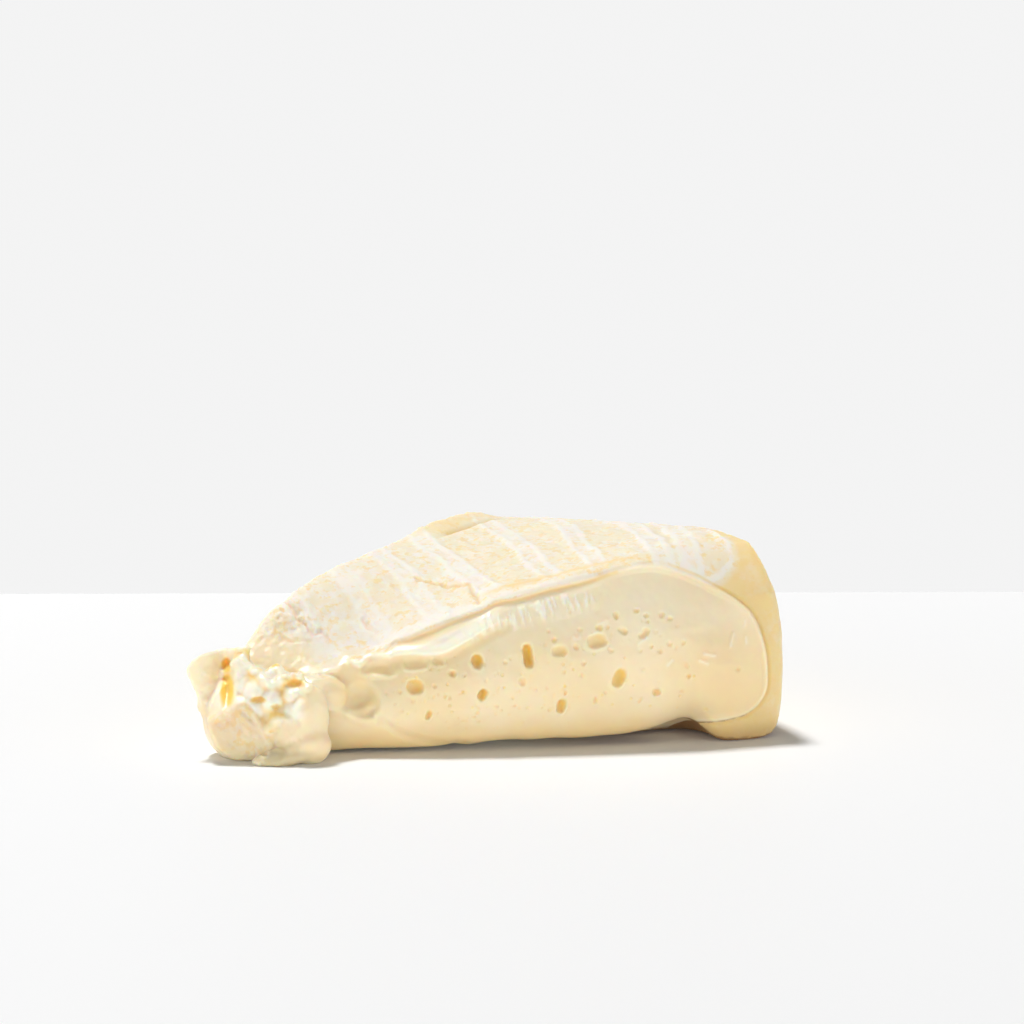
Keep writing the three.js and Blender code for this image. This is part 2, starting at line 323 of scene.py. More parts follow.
class CheeseSizes(bpy.types.PropertyGroup):
    """Sizes that change how fine or how worn the cheese looks."""

    grain: bpy.props.FloatProperty(
        name="Mesh Grain", description="Size of the mesh's faces before they are refined",
        default=0.72 * MM, min=0.3 * MM, max=3 * MM, precision=5, unit="LENGTH",
    )
    wrinkle: bpy.props.FloatProperty(
        name="Wrinkle Depth", description="Depth of the fine wrinkles in the rind",
        default=0.2 * MM, min=0, max=MM, precision=5, unit="LENGTH",
    )
    band: bpy.props.FloatProperty(
        name="Band Height", description="How far the mat's bands stand out of the rind",
        default=0.3 * MM, min=0, max=MM, precision=5, unit="LENGTH",
    )
    paste_step: bpy.props.FloatProperty(
        name="Paste Step", description="How far the paste stands out past the rind around it",
        default=0.6 * MM, min=0, max=4 * MM, precision=5, unit="LENGTH",
    )
    scatter: bpy.props.FloatProperty(
        name="Light Depth", description="How far light spreads inside the cheese",
        default=2.6 * MM, min=0, max=10 * MM, precision=5, unit="LENGTH",
    )


def colour_property(name, description, default):
    """A colour that the user can change, in linear light."""
    return bpy.props.FloatVectorProperty(
        name=name, description=description, default=default, subtype="COLOR", min=0, max=1,
    )


class CheeseColours(bpy.types.PropertyGroup):
    """Colours of the paste and the rind, and of the painted shade and highlight on them."""

    paste: colour_property("Paste", "Soft paste of the cut faces", (0.91, 0.775, 0.535))
    paste_warm: colour_property("Warm Paste", "Paste where it is denser", (0.885, 0.74, 0.47))
    # Painted shade: a shaded copy of the paste, put near the underside.
    shaded_paste: colour_property("Low Paste", "Darker paste near the underside", (0.84, 0.63, 0.30))
    # Painted shade: the amber put in eyes, dimples, the groove, clefts, pores and between curds.
    deep: colour_property("Deep Paste", "Inside of eyes and clefts", (0.97, 0.62, 0.05))
    # Pale wet paste, also used as painted highlight on the lip, streaks, flecks, curds and the upper
    # face.
    wet_and_highlight: colour_property("Wet Paste", "Runny, glossy paste", (0.96, 0.91, 0.79))
    clear: colour_property("Clear Paste", "Thin paste that has run out", (0.57, 0.49, 0.30))
    rind: colour_property("Rind", "Rind between the patches of bloom", (0.81, 0.72, 0.535))
    ground_light: colour_property("Light Rind", "Palest rind between the bloom", (0.815, 0.745, 0.60))
    # Deeper yellow rind, also used as painted shade in the crease under the curl and along cracks.
    stain_and_shade: colour_property("Stained Rind", "Deeper yellow rind along edges", (0.84, 0.58, 0.19))
    speck: colour_property("Specks", "Yellow specks and hollows of the rind", (0.82, 0.66, 0.37))
    bloom: colour_property("Bloom", "White bloom on the rind", (0.82, 0.775, 0.69))
    side: colour_property("Side Rind", "Smooth rind of the outer side", (0.82, 0.63, 0.295))
    pink: colour_property("Pink Rind", "Pinkish rind along cracks and folds", (0.87, 0.63, 0.44))
    # Painted shade: dark brown put under the wedge, in the hollow of the notch and at the foot.
    under_shade: colour_property("Under Rind", "Darker rind under the wedge", (0.30, 0.16, 0.065))


class StageSizes(bpy.types.PropertyGroup):
    """The slab, the light and the camera."""

    slab_behind: bpy.props.FloatProperty(
        name="Slab Behind", description="How far the slab goes on behind the cheese",
        default=0.176, min=0.05, unit="LENGTH",
    )
    lens: bpy.props.FloatProperty(
        name="Lens", description="Focal length of the camera in millimetres", default=150.0, min=20,
    )
    sky: bpy.props.FloatProperty(
        name="Surroundings", description="Brightness of the pale surroundings", default=4.5, min=0,
    )
    key: bpy.props.FloatProperty(
        name="Key Light", description="Power of the soft light above, in watts", default=92.0, min=0,
    )


# ---------------------------------------------------------------------------------------------
# Helpers
# ---------------------------------------------------------------------------------------------


def smooth(x):
    """Rises from 0 to 1 as x does, with soft ends."""
    x = np.clip(x, 0, 1)
    return x * x * (3 - 2 * x)


def hump(x):
    """1 at 0, falling softly to 0 at -1 and 1."""
    return 1 - smooth(np.abs(x))


def bell(value, middle, width):
    """1 at the middle, falling softly to 0 at that width on either side of it."""
    return hump((value - middle) / width)


def rise(value, start, width):
    """0 up to the start, rising softly to 1 over the width after it."""
    return smooth((value - start) / width)


def fall(value, start, width):
    """1 up to the start, falling softly to 0 over the width after it."""
    return 1 - rise(value, start, width)


def within(value, first, lead_in, last, lead_out):
    """Rises over the lead in after the first value, and falls over the lead out after the last."""
    return rise(value, first, lead_in) * fall(value, last, lead_out)


def round_off(x):
    """How far a quarter circle of radius 1 has fallen away at x from its start."""
    x = np.clip(x, 0, 1)
    return 1 - np.sqrt(1 - x * x)


def curve(points, x):
    """Value at x of a smooth line through the points, which run in order of their first number."""
    table = np.array(points, float)
    xs, ys = table.T
    slopes = np.gradient(ys, xs)
    i = np.clip(np.searchsorted(xs, x) - 1, 0, len(xs) - 2)
    span = xs[i + 1] - xs[i]
    t = np.clip((x - xs[i]) / span, 0, 1)
    bend = span * t * (1 - t) * (slopes[i] * (1 - t) - slopes[i + 1] * t)
    return ys[i] + (ys[i + 1] - ys[i]) * smooth(t) + bend


def ripples(points, size, seed=0.0, octaves=1):
    """Smooth noise from about -1 to 1 at each point, with features of that size."""
    moved = points / np.array(size) + seed
    return np.array([noise.fractal(p, 1.0, 2.0, octaves) for p in moved.tolist()])


def line_distance(points, line):
    """Distance from each 2D point to a line of joined stretches."""
    nearest = np.full(len(points), np.inf)
    corners = np.array(line, float)
    for start, end in zip(corners[:-1], corners[1:]):
        way = end - start
        t = np.clip((points - start) @ way / (way @ way), 0, 1)
        gap = points - start - t[:, None] * way
        nearest = np.minimum(nearest, np.hypot(gap[:, 0], gap[:, 1]))
    return nearest


def rounded_line(line, steps=5):
    """The line again, with its corners rounded by points set between the given ones."""
    corners = np.array(line, float)
    count = np.arange(len(corners))
    fine = np.linspace(0, len(corners) - 1, (len(corners) - 1) * steps + 1)
    return np.stack([curve(np.stack([count, corners[:, k]], 1), fine) for k in (0, 1)], 1)


def inside_outline(points, outline):
    """Distance of each 2D point inside a closed outline, negative where it is outside."""
    loop = np.vstack([outline, outline[:1]])
    inside = np.zeros(len(points), bool)
    x, y = points[:, 0], points[:, 1]
    for (x0, y0), (x1, y1) in zip(loop[:-1], loop[1:]):
        crosses = (y0 > y) != (y1 > y)
        with np.errstate(divide="ignore", invalid="ignore"):
            reach = (x1 - x0) * (y - y0) / (y1 - y0) + x0
        inside ^= crosses & (x < reach)
    return np.where(inside, 1, -1) * line_distance(points, loop)


def own_points(piece):
    """The piece's points as its mesh holds them."""
    flat = np.empty(len(piece.data.vertices) * 3)
    piece.data.vertices.foreach_get("co", flat)
    return flat.reshape(-1, 3)


def wheel_points(piece):
    """The piece's points in millimetres from the wheel's centre."""
    return (own_points(piece) - WHEEL_CENTRE) / MM


def place_points(piece, points):
    """Writes points in millimetres from the wheel's centre to the piece."""
    piece.data.vertices.foreach_set("co", (points * MM + WHEEL_CENTRE).ravel())
    piece.data.update()


def point_normals(piece):
    """The direction out of the piece at each of its points."""
    flat = np.empty(len(piece.data.vertices) * 3)
    piece.data.vertex_normals.foreach_get("vector", flat)
    return flat.reshape(-1, 3)


def point_place(across, away, up):
    """A place in the torn point, in millimetres from the wheel's centre."""
    return across * POINT_ACROSS + away * POINT_AWAY + up * UP


def new_piece(add, name, **settings):
    """A primitive added on its own, named and selected."""
    bpy.ops.object.select_all(action="DESELECT")
    add(**settings)
    piece = bpy.context.object
    piece.name = name
    return piece


def finish_modifier(piece, kind, **settings):
    """Adds a modifier and applies it."""
    bpy.context.view_layer.objects.active = piece
    modifier = piece.modifiers.new(kind.title(), kind)
    for key, value in settings.items():
        setattr(modifier, key, value)
    bpy.ops.object.modifier_apply(modifier=modifier.name)


def refine(piece, chosen):
    """Cuts each face whose middle is chosen into four, in edit mode."""
    mesh = piece.data
    flat = np.empty(len(mesh.polygons) * 3)
    mesh.polygons.foreach_get("center", flat)
    middles = (flat.reshape(-1, 3) - WHEEL_CENTRE) / MM
    normals = np.empty(len(mesh.polygons) * 3)
    mesh.polygons.foreach_get("normal", normals)
    mesh.vertices.foreach_set("select", np.zeros(len(mesh.vertices), bool))
    mesh.edges.foreach_set("select", np.zeros(len(mesh.edges), bool))
    mesh.polygons.foreach_set("select", chosen(middles, normals.reshape(-1, 3)))
    mesh.update()
    bpy.context.view_layer.objects.active = piece
    bpy.ops.object.mode_set(mode="EDIT")
    bpy.ops.mesh.select_mode(type="FACE")
    bpy.ops.mesh.subdivide(number_cuts=1)
    bpy.ops.mesh.select_all(action="DESELECT")
    bpy.ops.object.mode_set(mode="OBJECT")


# ---------------------------------------------------------------------------------------------
# The wedge
# ---------------------------------------------------------------------------------------------


def top_height(r, side):
    """Height of the top at distance r from the wheel's centre; side is -1 at the front cut."""
    share = smooth((side + 1) / 2)
    height = (1 - share) * curve(FRONT_TOP, r) + share * curve(BACK_TOP, r) + DOME * (1 - side**2)
    from_front = r * np.sin(HALF_ANGLE * (1 + side))
    from_back = r * np.sin(HALF_ANGLE * (1 - side))
    near_front = np.clip(1 - from_front / curve(FRONT_ROLL_WIDTH, r), 0, 1)
    height -= curve(FRONT_ROLL_DEPTH, r) * near_front**ROLL_POWER
    depth, width = BACK_ROLL
    height -= depth * round_off(1 - from_back / width)
    return height - SHOULDER * round_off((r - WHEEL_RADIUS + SHOULDER) / SHOULDER)


def base_height(r, side):
    """Height of the underside: the rounded foot, and the lift along the front cut."""
    from_front = r * np.sin(HALF_ANGLE * (1 + side))
    lift = curve(FRONT_LIFT, r) * (1 - smooth(from_front / LIFT_WIDTH))
    foot = FOOT * round_off((r - WHEEL_RADIUS + FOOT) / FOOT)
    return np.maximum(np.maximum(lift, 0), foot)


def face_swell(up, bulge, tuck):
    """How far a cut face stands out of its plane, up its height from 0 to 1."""
    return bulge * np.sin(np.pi * up**SWELL_LOW) - tuck * (1 - smooth(up / TUCK_SHARE))


def bend_to_wedge(cube):
    """Bends a cube's points, from -0.5 to 0.5, into the wedge: x to the outer side, z up."""
    along, side, up = cube[:, 0] + 0.5, 2 * cube[:, 1], np.clip(cube[:, 2] + 0.5, 0, 1)
    eased = np.sin(np.pi / 2 * along) * ROW_CROWDING + along * (1 - ROW_CROWDING)
    r = NOSE_RADIUS + (WHEEL_RADIUS - NOSE_RADIUS) * eased
    base = base_height(r, side)
    z = base + up * np.maximum(top_height(r, side) - base, LEAST_THICK)
    barrel = BARREL_CURVE * (z - BARREL_HEIGHT) ** 2 * (r / WHEEL_RADIUS) ** BARREL_FADE
    reach = r - barrel * r / WHEEL_RADIUS
    front = face_swell(up, curve(FRONT_BULGE, r), curve(FRONT_TUCK, r))
    back = face_swell(up, curve(BACK_BULGE, r), curve(BACK_TUCK, r))
    corner = CORNER_DEPTH * round_off((r - CORNER_START) / (WHEEL_RADIUS - CORNER_START))
    out = (np.where(side < 0, front, back) - corner) * np.abs(side) ** SWELL_INWARD
    angle = side * HALF_ANGLE
    flat = np.stack([reach * np.cos(angle), reach * np.sin(angle), z], 1)
    return flat + out[:, None] * np.where(side[:, None] < 0, FRONT_OUT, BACK_OUT)


def model_wedge():
    """A cube, cut fine in edit mode and bent into the sagging wedge."""
    piece = new_piece(bpy.ops.mesh.primitive_cube_add, PIECE, size=1)
    bpy.ops.object.mode_set(mode="EDIT")
    for cuts in GRID_ROUNDS:
        bpy.ops.mesh.subdivide(number_cuts=cuts)
    bpy.ops.object.mode_set(mode="OBJECT")
    place_points(piece, bend_to_wedge(own_points(piece)))
    return piece


# ---------------------------------------------------------------------------------------------
# The torn point
# ---------------------------------------------------------------------------------------------


def lean(points, across, away):
    """Turns points about their middle: leaning across, then leaning away, in degrees."""
    a, b = math.radians(across), math.radians(away)
    sideways = ((math.cos(a), 0, -math.sin(a)), (0, 1, 0), (math.sin(a), 0, math.cos(a)))
    backwards = ((1, 0, 0), (0, math.cos(b), -math.sin(b)), (0, math.sin(b), math.cos(b)))
    return points @ np.array(sideways) @ np.array(backwards)


def to_wheel(laid_out):
    """Points laid out as (across, away, up) to points from the wheel's centre."""
    return laid_out @ np.stack([POINT_ACROSS, POINT_AWAY, UP])


def model_lump(name, middle, halves, across, away, rough, seed):
    """A ball, pulled to its half sizes, roughened, leaned over and put in its place."""
    piece = new_piece(bpy.ops.mesh.primitive_ico_sphere_add, name, subdivisions=5, radius=1)
    ball = own_points(piece)
    swollen = ball * (np.array(halves) + (rough * ripples(ball, 0.55, seed, 3))[:, None])
    place_points(piece, to_wheel(lean(swollen, across, away) + np.array(middle)))
    return piece


def model_fold():
    """The folded end of the rind: an outline filled, extruded to its far side and bevelled."""
    piece = new_piece(
        bpy.ops.mesh.primitive_circle_add, "folded_rind", vertices=len(FOLD), radius=1, fill_type="NGON"
    )
    outline = np.array([(across, FOLD_NEAR, up) for across, up in FOLD])
    place_points(piece, to_wheel(outline))
    depth = (FOLD_FAR - FOLD_NEAR) * MM * POINT_AWAY
    bpy.ops.object.mode_set(mode="EDIT")
    bpy.ops.mesh.select_all(action="SELECT")
    bpy.ops.mesh.extrude_region_move(TRANSFORM_OT_translate={"value": depth})
    bpy.ops.mesh.select_all(action="SELECT")
    bpy.ops.mesh.normals_make_consistent(inside=False)
    bpy.ops.object.mode_set(mode="OBJECT")
    finish_modifier(piece, "BEVEL", width=FOLD_EDGE * MM, segments=3, limit_method="ANGLE")
    return piece


def model_flap():
    """The torn flap: a grid folded into a leaf with a deep valley, then given its thickness."""
    piece = new_piece(
        bpy.ops.mesh.primitive_grid_add, "torn_flap",
        x_subdivisions=FLAP_CUTS, y_subdivisions=FLAP_CUTS, size=1,
    )
    u, v = (own_points(piece)[:, :2] + 0.5).T
    left, right = curve(FLAP_LEFT, v), FLAP_RIGHT - 1.5 * (1 - v)
    across = left + u * (right - left)
    away = curve(FLAP_AWAY, u) + 1.2 * (v - 0.5)
    up = FLAP_BASE + v * (curve(FLAP_TOP, u) - FLAP_BASE)
    laid_out = np.stack([across, away, up], 1)
    laid_out += 0.35 * ripples(laid_out, 3.5, 4.2)[:, None] * (1, 1, 0.6)
    place_points(piece, to_wheel(laid_out))
    finish_modifier(piece, "SOLIDIFY", thickness=FLAP_THICK * MM, offset=0)
    return piece


def model_point():
    """Every bit of the torn point, as separate closed solids that overlap."""
    bits = [model_fold(), model_flap()]
    for seed, (name, (middle, halves, across, away, rough)) in enumerate(LUMPS.items()):
        bits.append(model_lump("point_" + name, middle, halves, across, away, rough, seed * 3.7))
    for seed, (across, away, up, radius) in enumerate(CURDS):
        halves = (radius * 1.15, radius, radius * 0.9)
        tilt = 25 * math.sin(seed)
        middle = (across, away, up)
        bits.append(model_lump(f"curd_{seed}", middle, halves, tilt, 0, 0.35, seed * 1.9))
    return bits


def grow_together(piece, bits, grain):
    """Joins the bits to the wedge and remeshes them as one closed skin, flat underneath."""
    bpy.ops.object.select_all(action="DESELECT")
    for bit in bits:
        bit.select_set(True)
    piece.select_set(True)
    bpy.context.view_layer.objects.active = piece
    bpy.ops.object.join()
    finish_modifier(piece, "REMESH", mode="VOXEL", voxel_size=grain, use_smooth_shade=True)
    finish_modifier(piece, "SMOOTH", factor=SMOOTHING, iterations=SMOOTHING_ROUNDS)
    points = wheel_points(piece)
    points[:, 2] = np.maximum(points[:, 2], 0)
    place_points(piece, points)


# ---------------------------------------------------------------------------------------------
# Where a point of the skin lies
# ---------------------------------------------------------------------------------------------


class Skin:
    """Places and weights of all points of the skin, worked out once for each round of shaping."""

    def __init__(self, points, normals):
        self.points = points
        self.normals = normals
        self.radius = np.hypot(points[:, 0], points[:, 1])
        self.height = points[:, 2]
        self.plan = points[:, :2]
        self.front = np.stack([points @ FRONT_ALONG, points[:, 2]], 1)
        self.back = np.stack([points @ BACK_ALONG, points[:, 2]], 1)
        self.along = self.front[:, 0]
        self.front_out = points @ FRONT_OUT
        self.back_out = points @ BACK_OUT
        self.on_front = rise(normals @ FRONT_OUT, 0.1, 0.35) * rise(self.front_out, -10, 5)
        self.on_back = rise(normals @ BACK_OUT, 0.1, 0.35) * rise(self.back_out, -9, 2)
        self.on_top = rise(normals[:, 2], 0.15, 0.4) * (1 - self.on_front) * (1 - self.on_back)
        self.on_base = rise(-normals[:, 2], 0.5, 0.3)
        self.across = points @ POINT_ACROSS
        self.away = points @ POINT_AWAY
        self.seen = np.stack([self.across, points[:, 2]], 1)
        self.on_point = fall(self.radius, 19, 8)
        self.front_paste = inside_outline(self.front, rounded_line(FRONT_PASTE))
        self.back_paste = inside_outline(self.back, rounded_line(BACK_PASTE))

    @classmethod
    def of(cls, piece):
        """The skin of the piece as it is now."""
        return cls(wheel_points(piece), point_normals(piece))


def eye_reach(places, eye):
    """Distance from an eye's middle, as a share of its outline."""
    along, up, half_along, half_up, turn, _ = eye
    a = math.radians(turn)
    x, y = places[:, 0] - along, places[:, 1] - up
    over = np.abs(x * math.cos(a) + y * math.sin(a)) / half_along
    aside = np.abs(y * math.cos(a) - x * math.sin(a)) / half_up
    power = min(SQUAREST_EYE, 1 + max(half_along, half_up) / min(half_along, half_up))
    return (over**power + aside**power) ** (1 / power)


def eye_hollow(places, eyes):
    """Depth of the eyes at each place, with the fine rim around each as a negative depth."""
    hollow = np.zeros(len(places))
    for eye in eyes:
        reach = eye_reach(places, eye)
        firm = min(1, eye[-1])
        hollow += eye[-1] * np.clip(1 - reach**2, 0, 1) ** (1.3 - 0.6 * firm)
        below = smooth(0.7 - (places[:, 1] - eye[1]) / eye[3])
        hollow -= EYE_RIM * firm * bell(reach, *RIM_REACH) * below
    return hollow


def dimple_hollow(places):
    """Depth of the wide dimples: a soft slope down from above and a firmer rim below."""
    hollow = np.zeros(len(places))
    for dimple in DIMPLES:
        reach = eye_reach(places, dimple)
        below = smooth((dimple[1] - places[:, 1]) / dimple[3] * 0.5 + 0.5)
        hollow += dimple[-1] * np.clip(1 - reach**2, 0, 1) ** (1.6 - 0.9 * below)
        hollow -= DIMPLE_RIM * bell(reach, *RIM_REACH) * below
    return hollow


def front_pits():
    """Small pits scattered over the front cut face, the same ones each time."""
    dice = np.random.default_rng(5)
    pits = []
    for count, along, up, sizes in PIT_FIELDS:
        for _ in range(count):
            size = sizes[0] + (sizes[1] - sizes[0]) * dice.random() ** 2
            place = dice.uniform(*along), dice.uniform(*up)
            wide = size * dice.uniform(0.9, 1.4)
            turn = dice.uniform(-40, 40)
            pits.append((*place, wide, size, turn, PIT_DEPTH * size))
    return pits


def back_eyes():
    """Eyes scattered over the back cut face, the same ones each time."""
    dice = np.random.default_rng(11)
    eyes = []
    for _ in range(BACK_EYE_COUNT):
        along = dice.uniform(*BACK_EYE_SPAN)
        size = 0.5 + 1.3 * dice.random() ** 2
        tall = size * dice.uniform(0.8, 1.6)
        up = dice.uniform(BACK_EYE_LOW, curve(BACK_TOP, np.array([along]))[0] - BACK_EYE_BELOW_TOP)
        eyes.append((along, up, size, tall, dice.uniform(-35, 35), size * dice.uniform(0.6, 1.5)))
    return eyes


def along_line(places, line, width):
    """1 on a line, falling softly to 0 at that width from it."""
    return hump(line_distance(places, rounded_line(line, 3)) / width)


def lip_share(places):
    """1 on the glossy lip, between its top and its foot."""
    along, up = places.T
    share = smooth((up - curve(LIP_FOOT, along)) / 0.9 + 0.5)
    share *= smooth((curve(LIP_TOP, along) - up) / 1.4 + 0.5)
    return share * within(along, 33, 6, 57, 5)


def streak_share(places):
    """Short wet streaks that hang under the rind's edge, from 0 to 1."""
    along, up = places.T
    below = curve(GROOVE, along) - up
    spread = within(below, 0.6, 1, 3.2, 3) * within(along, 50, 5, 76, 8)
    slanted = np.stack([along + 0.18 * up, 0.22 * up, 0 * up], 1)
    return spread * (0.45 + 0.55 * rise(ripples(slanted, 0.85, 5.2, 2), -0.1, 0.3))


def wide_groove(along):
    """1 where the groove under the rind's edge is wide, near the point."""
    return fall(along, 48, 8)


def step_relief(skin, step):
    """Step from the paste down to the rind around it, at the outer end of the front cut."""
    edge = skin.front_paste
    sunk = fall(edge, -0.45, 0.7) * (1 - 0.8 * rise(-edge, 1, 6)) * rise(skin.along, 84, 12)
    relief = -step * sunk * (0.35 + 0.65 * rise(skin.height, 8, 8))
    return relief + rise(skin.along, 78, 10) * (0.2 * bell(edge, 0.6, 0.8) - 0.4 * bell(edge, -0.2, 0.6))


def lip_relief(skin):
    """The rind's cut edge, the groove under it, and the glossy lip and streaks below."""
    places, along = skin.front, skin.along
    wide = wide_groove(along)
    groove = (GROOVE_DEPTH - 0.05 * wide) * along_line(places, GROOVE, 0.9) * rise(along, 33, 5)
    groove += WIDE_GROOVE_DEPTH * wide * along_line(places, GROOVE, 2.0) * rise(along, 36, 5)
    relief = EDGE_HEIGHT * along_line(places, RIND_EDGE, 1.0) * fall(along, 66, 14)
    relief -= groove * fall(along, 76, 10)
    foot = along_line(places - (0, 0.9), LIP_FOOT, 1.5)
    uneven = 0.12 * ripples(skin.points, (2.5, 2.5, 1.6), 1.7, 2)
    relief += (LIP_HEIGHT + 0.5 * foot + uneven) * lip_share(places)
    relief -= LIP_HEIGHT * along_line(places - (0, -1.3), LIP_FOOT, 1.6)
    return relief + STREAK_HEIGHT * streak_share(places)


def shape_front(skin, sizes):
    """Relief of the front cut face: how far each point moves out of it."""
    places, along = skin.front, skin.along
    relief = step_relief(skin, sizes.paste_step / MM) + lip_relief(skin)
    relief += 0.2 * ripples(skin.points, (9, 9, 6), 2.1, 2) + 0.07 * ripples(skin.points, 2.6, 3.1, 2)
    for crease in CREASES:
        relief -= CREASE_DEPTH * along_line(places, crease, 1.3)
    for fleck in FLECKS:
        relief += FLECK_HEIGHT * along_line(places, fleck, 0.7)
    relief *= rise(along, 26, 6)
    relief += TORN_HEIGHT * along_line(places, TORN_RIDGE, 1.1) - dimple_hollow(places)
    return relief * skin.on_front * rise(along, 17, 4)


def shape_back(skin, sizes):
    """Relief of the back cut face."""
    relief = -sizes.paste_step / MM * smooth(-skin.back_paste / 0.9)
    relief -= 0.4 * np.exp(-((skin.back_paste / 0.5) ** 2))
    relief += 0.3 * ripples(skin.points, (14, 14, 8), 7.4, 2)
    return relief * skin.on_back * (1 - skin.on_point)


def band_share(skin):
    """How much each point lies on one of the mat's bands, which are fainter near the point."""
    wander = 0.9 * ripples(skin.points, 11, 1.3, 2)
    share = np.zeros(len(wander))
    for crossing, degrees in BANDS:
        a = math.radians(degrees)
        gap = (skin.points[:, 0] - crossing) * math.sin(a) - skin.points[:, 1] * math.cos(a)
        offset = np.abs(gap + wander)
        share = np.maximum(share, bell(offset, BAND_HALF, BAND_LINE))
        share = np.maximum(share, BAND_FILL * hump(offset / (1.6 * BAND_HALF)))
    return share * (0.5 + 0.5 * rise(skin.radius, 36, 24))


def crack_share(skin, width, cracks):
    """How much each point of the top lies in a crack."""
    plan = skin.plan + 0.7 * ripples(skin.points, 2.5, 9.1, 2)[:, None]
    share = np.zeros(len(plan))
    for crack in cracks:
        share = np.maximum(share, hump(line_distance(plan, crack) / width))
    return share


def curl_share(skin):
    """1 along the stretch of the back edge where the rind has curled up."""
    return within(skin.radius, 66, 8, 90, 12)


def shape_top(skin, sizes):
    """Relief of the top rind: sags, wrinkles, the mat's bands, cracks and the curled back edge."""
    fine = ripples(skin.points, (2.2, 3.8, 3), 3.3, 3)
    relief = 0.45 * ripples(skin.points, 17, 6.1, 2) + 0.22 * ripples(skin.points, (5, 7, 6), 8.2, 2)
    relief += (sizes.wrinkle / MM + 0.2 * fall(skin.radius, 20, 9)) * (1 - 2 * np.abs(fine))
    relief += sizes.band / MM * band_share(skin)
    relief -= CRACK_DEPTH * crack_share(skin, 0.75, (*CRACKS, CROSS_CRACK))
    curl = CURL_HEIGHT * bell(-skin.back_out, 3, 6) - CURL_CREASE * bell(-skin.back_out, CREASE_IN, 1.8)
    relief += curl_share(skin) * curl
    relief += RIDGE_HEIGHT * hump(line_distance(skin.plan, WHITE_RIDGE) / 1.1)
    return relief * skin.on_top * rise(skin.radius, 9, 6)


def shape_side(skin):
    """Relief of the outer side: a smooth rind with slow waves and a few level creases."""
    on_side = rise(skin.radius, 108, 6) * (1 - skin.on_front) * (1 - skin.on_back)
    waves = 0.35 * ripples(skin.points, (16, 16, 9), 4.4, 2)
    waves += 0.12 * ripples(skin.points, (6, 6, 2.2), 2.9, 2)
    return waves * on_side * (1 - skin.on_top) * (1 - skin.on_base)


def curd_cells(skin):
    """Distance from the middle of the nearest curd, from 0 to about 1."""
    bent = skin.points + 0.7 * ripples(skin.points, 3, 2.2)[:, None]
    return np.array([noise.voronoi(p)[0][0] for p in (bent / CURD_SIZE).tolist()])


def inside_fold(skin):
    """Distance inside the folded rind's outline, as it is seen from the open side."""
    return inside_outline(skin.seen, np.array(FOLD, float))


def curd_share(skin):
    """How much each point belongs to the broken curds of the torn point."""
    share = within(skin.across, 5, 2.5, 18.5, 3) * rise(skin.height, 7, 3)
    return share * (1 - smooth(inside_fold(skin) / 0.8 + 0.3)) * fall(skin.away, 3, 3)


def cleft_reach(skin, cleft):
    """Distance from a cleft's middle, as a share of its half width and half height."""
    across, up, half_across, half_up, _ = cleft
    return np.hypot((skin.across - across) / half_across, (skin.height - up) / half_up)


def fold_relief(skin):
    """Raised edge, slanting ridges and small lumps on the folded rind."""
    inside = inside_fold(skin)
    on_fold = smooth(inside / 1.2)
    strokes = bell(skin.across, 9.5, 3.5) * bell(skin.height, 9, 3.5)
    slant = 3 * (0.75 * skin.across + skin.height) + 1.5 * ripples(skin.points, 5, 3.0)
    relief = (0.05 + 0.16 * strokes) * np.sin(slant) * on_fold
    relief += 0.3 * ripples(skin.points, 2.6, 7.3, 3) * on_fold
    return relief + 0.45 * bell(inside, 0.8, 1.1) * (skin.height > 1.5)


def shape_point(skin):
    """Relief of the torn point as seen from its open side: clefts, ridges on the fold, curds."""
    facing = rise(-(skin.normals @ POINT_AWAY), -0.05, 0.3) * fall(skin.radius, 21, 5)
    relief = fold_relief(skin)
    for cleft in CLEFTS:
        relief -= cleft[-1] * hump(cleft_reach(skin, cleft) / 1.4)
    crumbly = 1 - 0.6 * smooth(inside_fold(skin) / 1.2)
    crumbly *= 1 - 0.45 * rise(skin.across, 17, 3) * fall(skin.height, 11, 3)
    relief += 0.3 * ripples(skin.points, 2.1, 5.5, 3) * crumbly
    relief += CURD_HEIGHT * (0.45 - curd_cells(skin)) * curd_share(skin)
    return relief * facing


def seen_side(middles, normals):
    """Faces of the front cut face's upper part, the torn point and the cracks."""
    along, up = middles @ FRONT_ALONG, middles[:, 2]
    reach = np.hypot(middles[:, 0], middles[:, 1])
    ahead = (normals @ FRONT_OUT > 0.15) & (middles @ FRONT_OUT > -3)
    at_point = (reach < 24) & (normals @ POINT_AWAY < 0.35) & (normals[:, 2] > -0.7)
    cracked = np.zeros(len(reach), bool)
    for crack in (*CRACKS, CROSS_CRACK):
        cracked |= (line_distance(middles[:, :2], crack) < 1.8) & (normals[:, 2] > 0.3)
    return (ahead & (along > 18) & (up > 3)) | at_point | cracked


def shape_skin(piece, sizes):
    """Gives the joined skin all of its relief, finest where it is seen closest."""
    refine(piece, seen_side)
    skin = Skin.of(piece)
    moved = skin.points + FRONT_OUT * shape_front(skin, sizes)[:, None]
    moved += BACK_OUT * shape_back(skin, sizes)[:, None]
    moved += skin.normals * (shape_top(skin, sizes) + shape_side(skin))[:, None]
    moved -= POINT_AWAY * shape_point(skin)[:, None]
    place_points(piece, moved)
    skin = Skin.of(piece)
    front_hollow = eye_hollow(skin.front, (*FRONT_EYES, *front_pits()))
    front_hollow *= smooth(skin.on_front * 2) * (skin.front_out > -2.5)
    back_hollow = eye_hollow(skin.back, back_eyes()) * smooth(skin.on_back * 2)
    moved = skin.points - FRONT_OUT * front_hollow[:, None] - BACK_OUT * back_hollow[:, None]
    moved[:, 2] = np.maximum(moved[:, 2], 0)
    place_points(piece, moved)


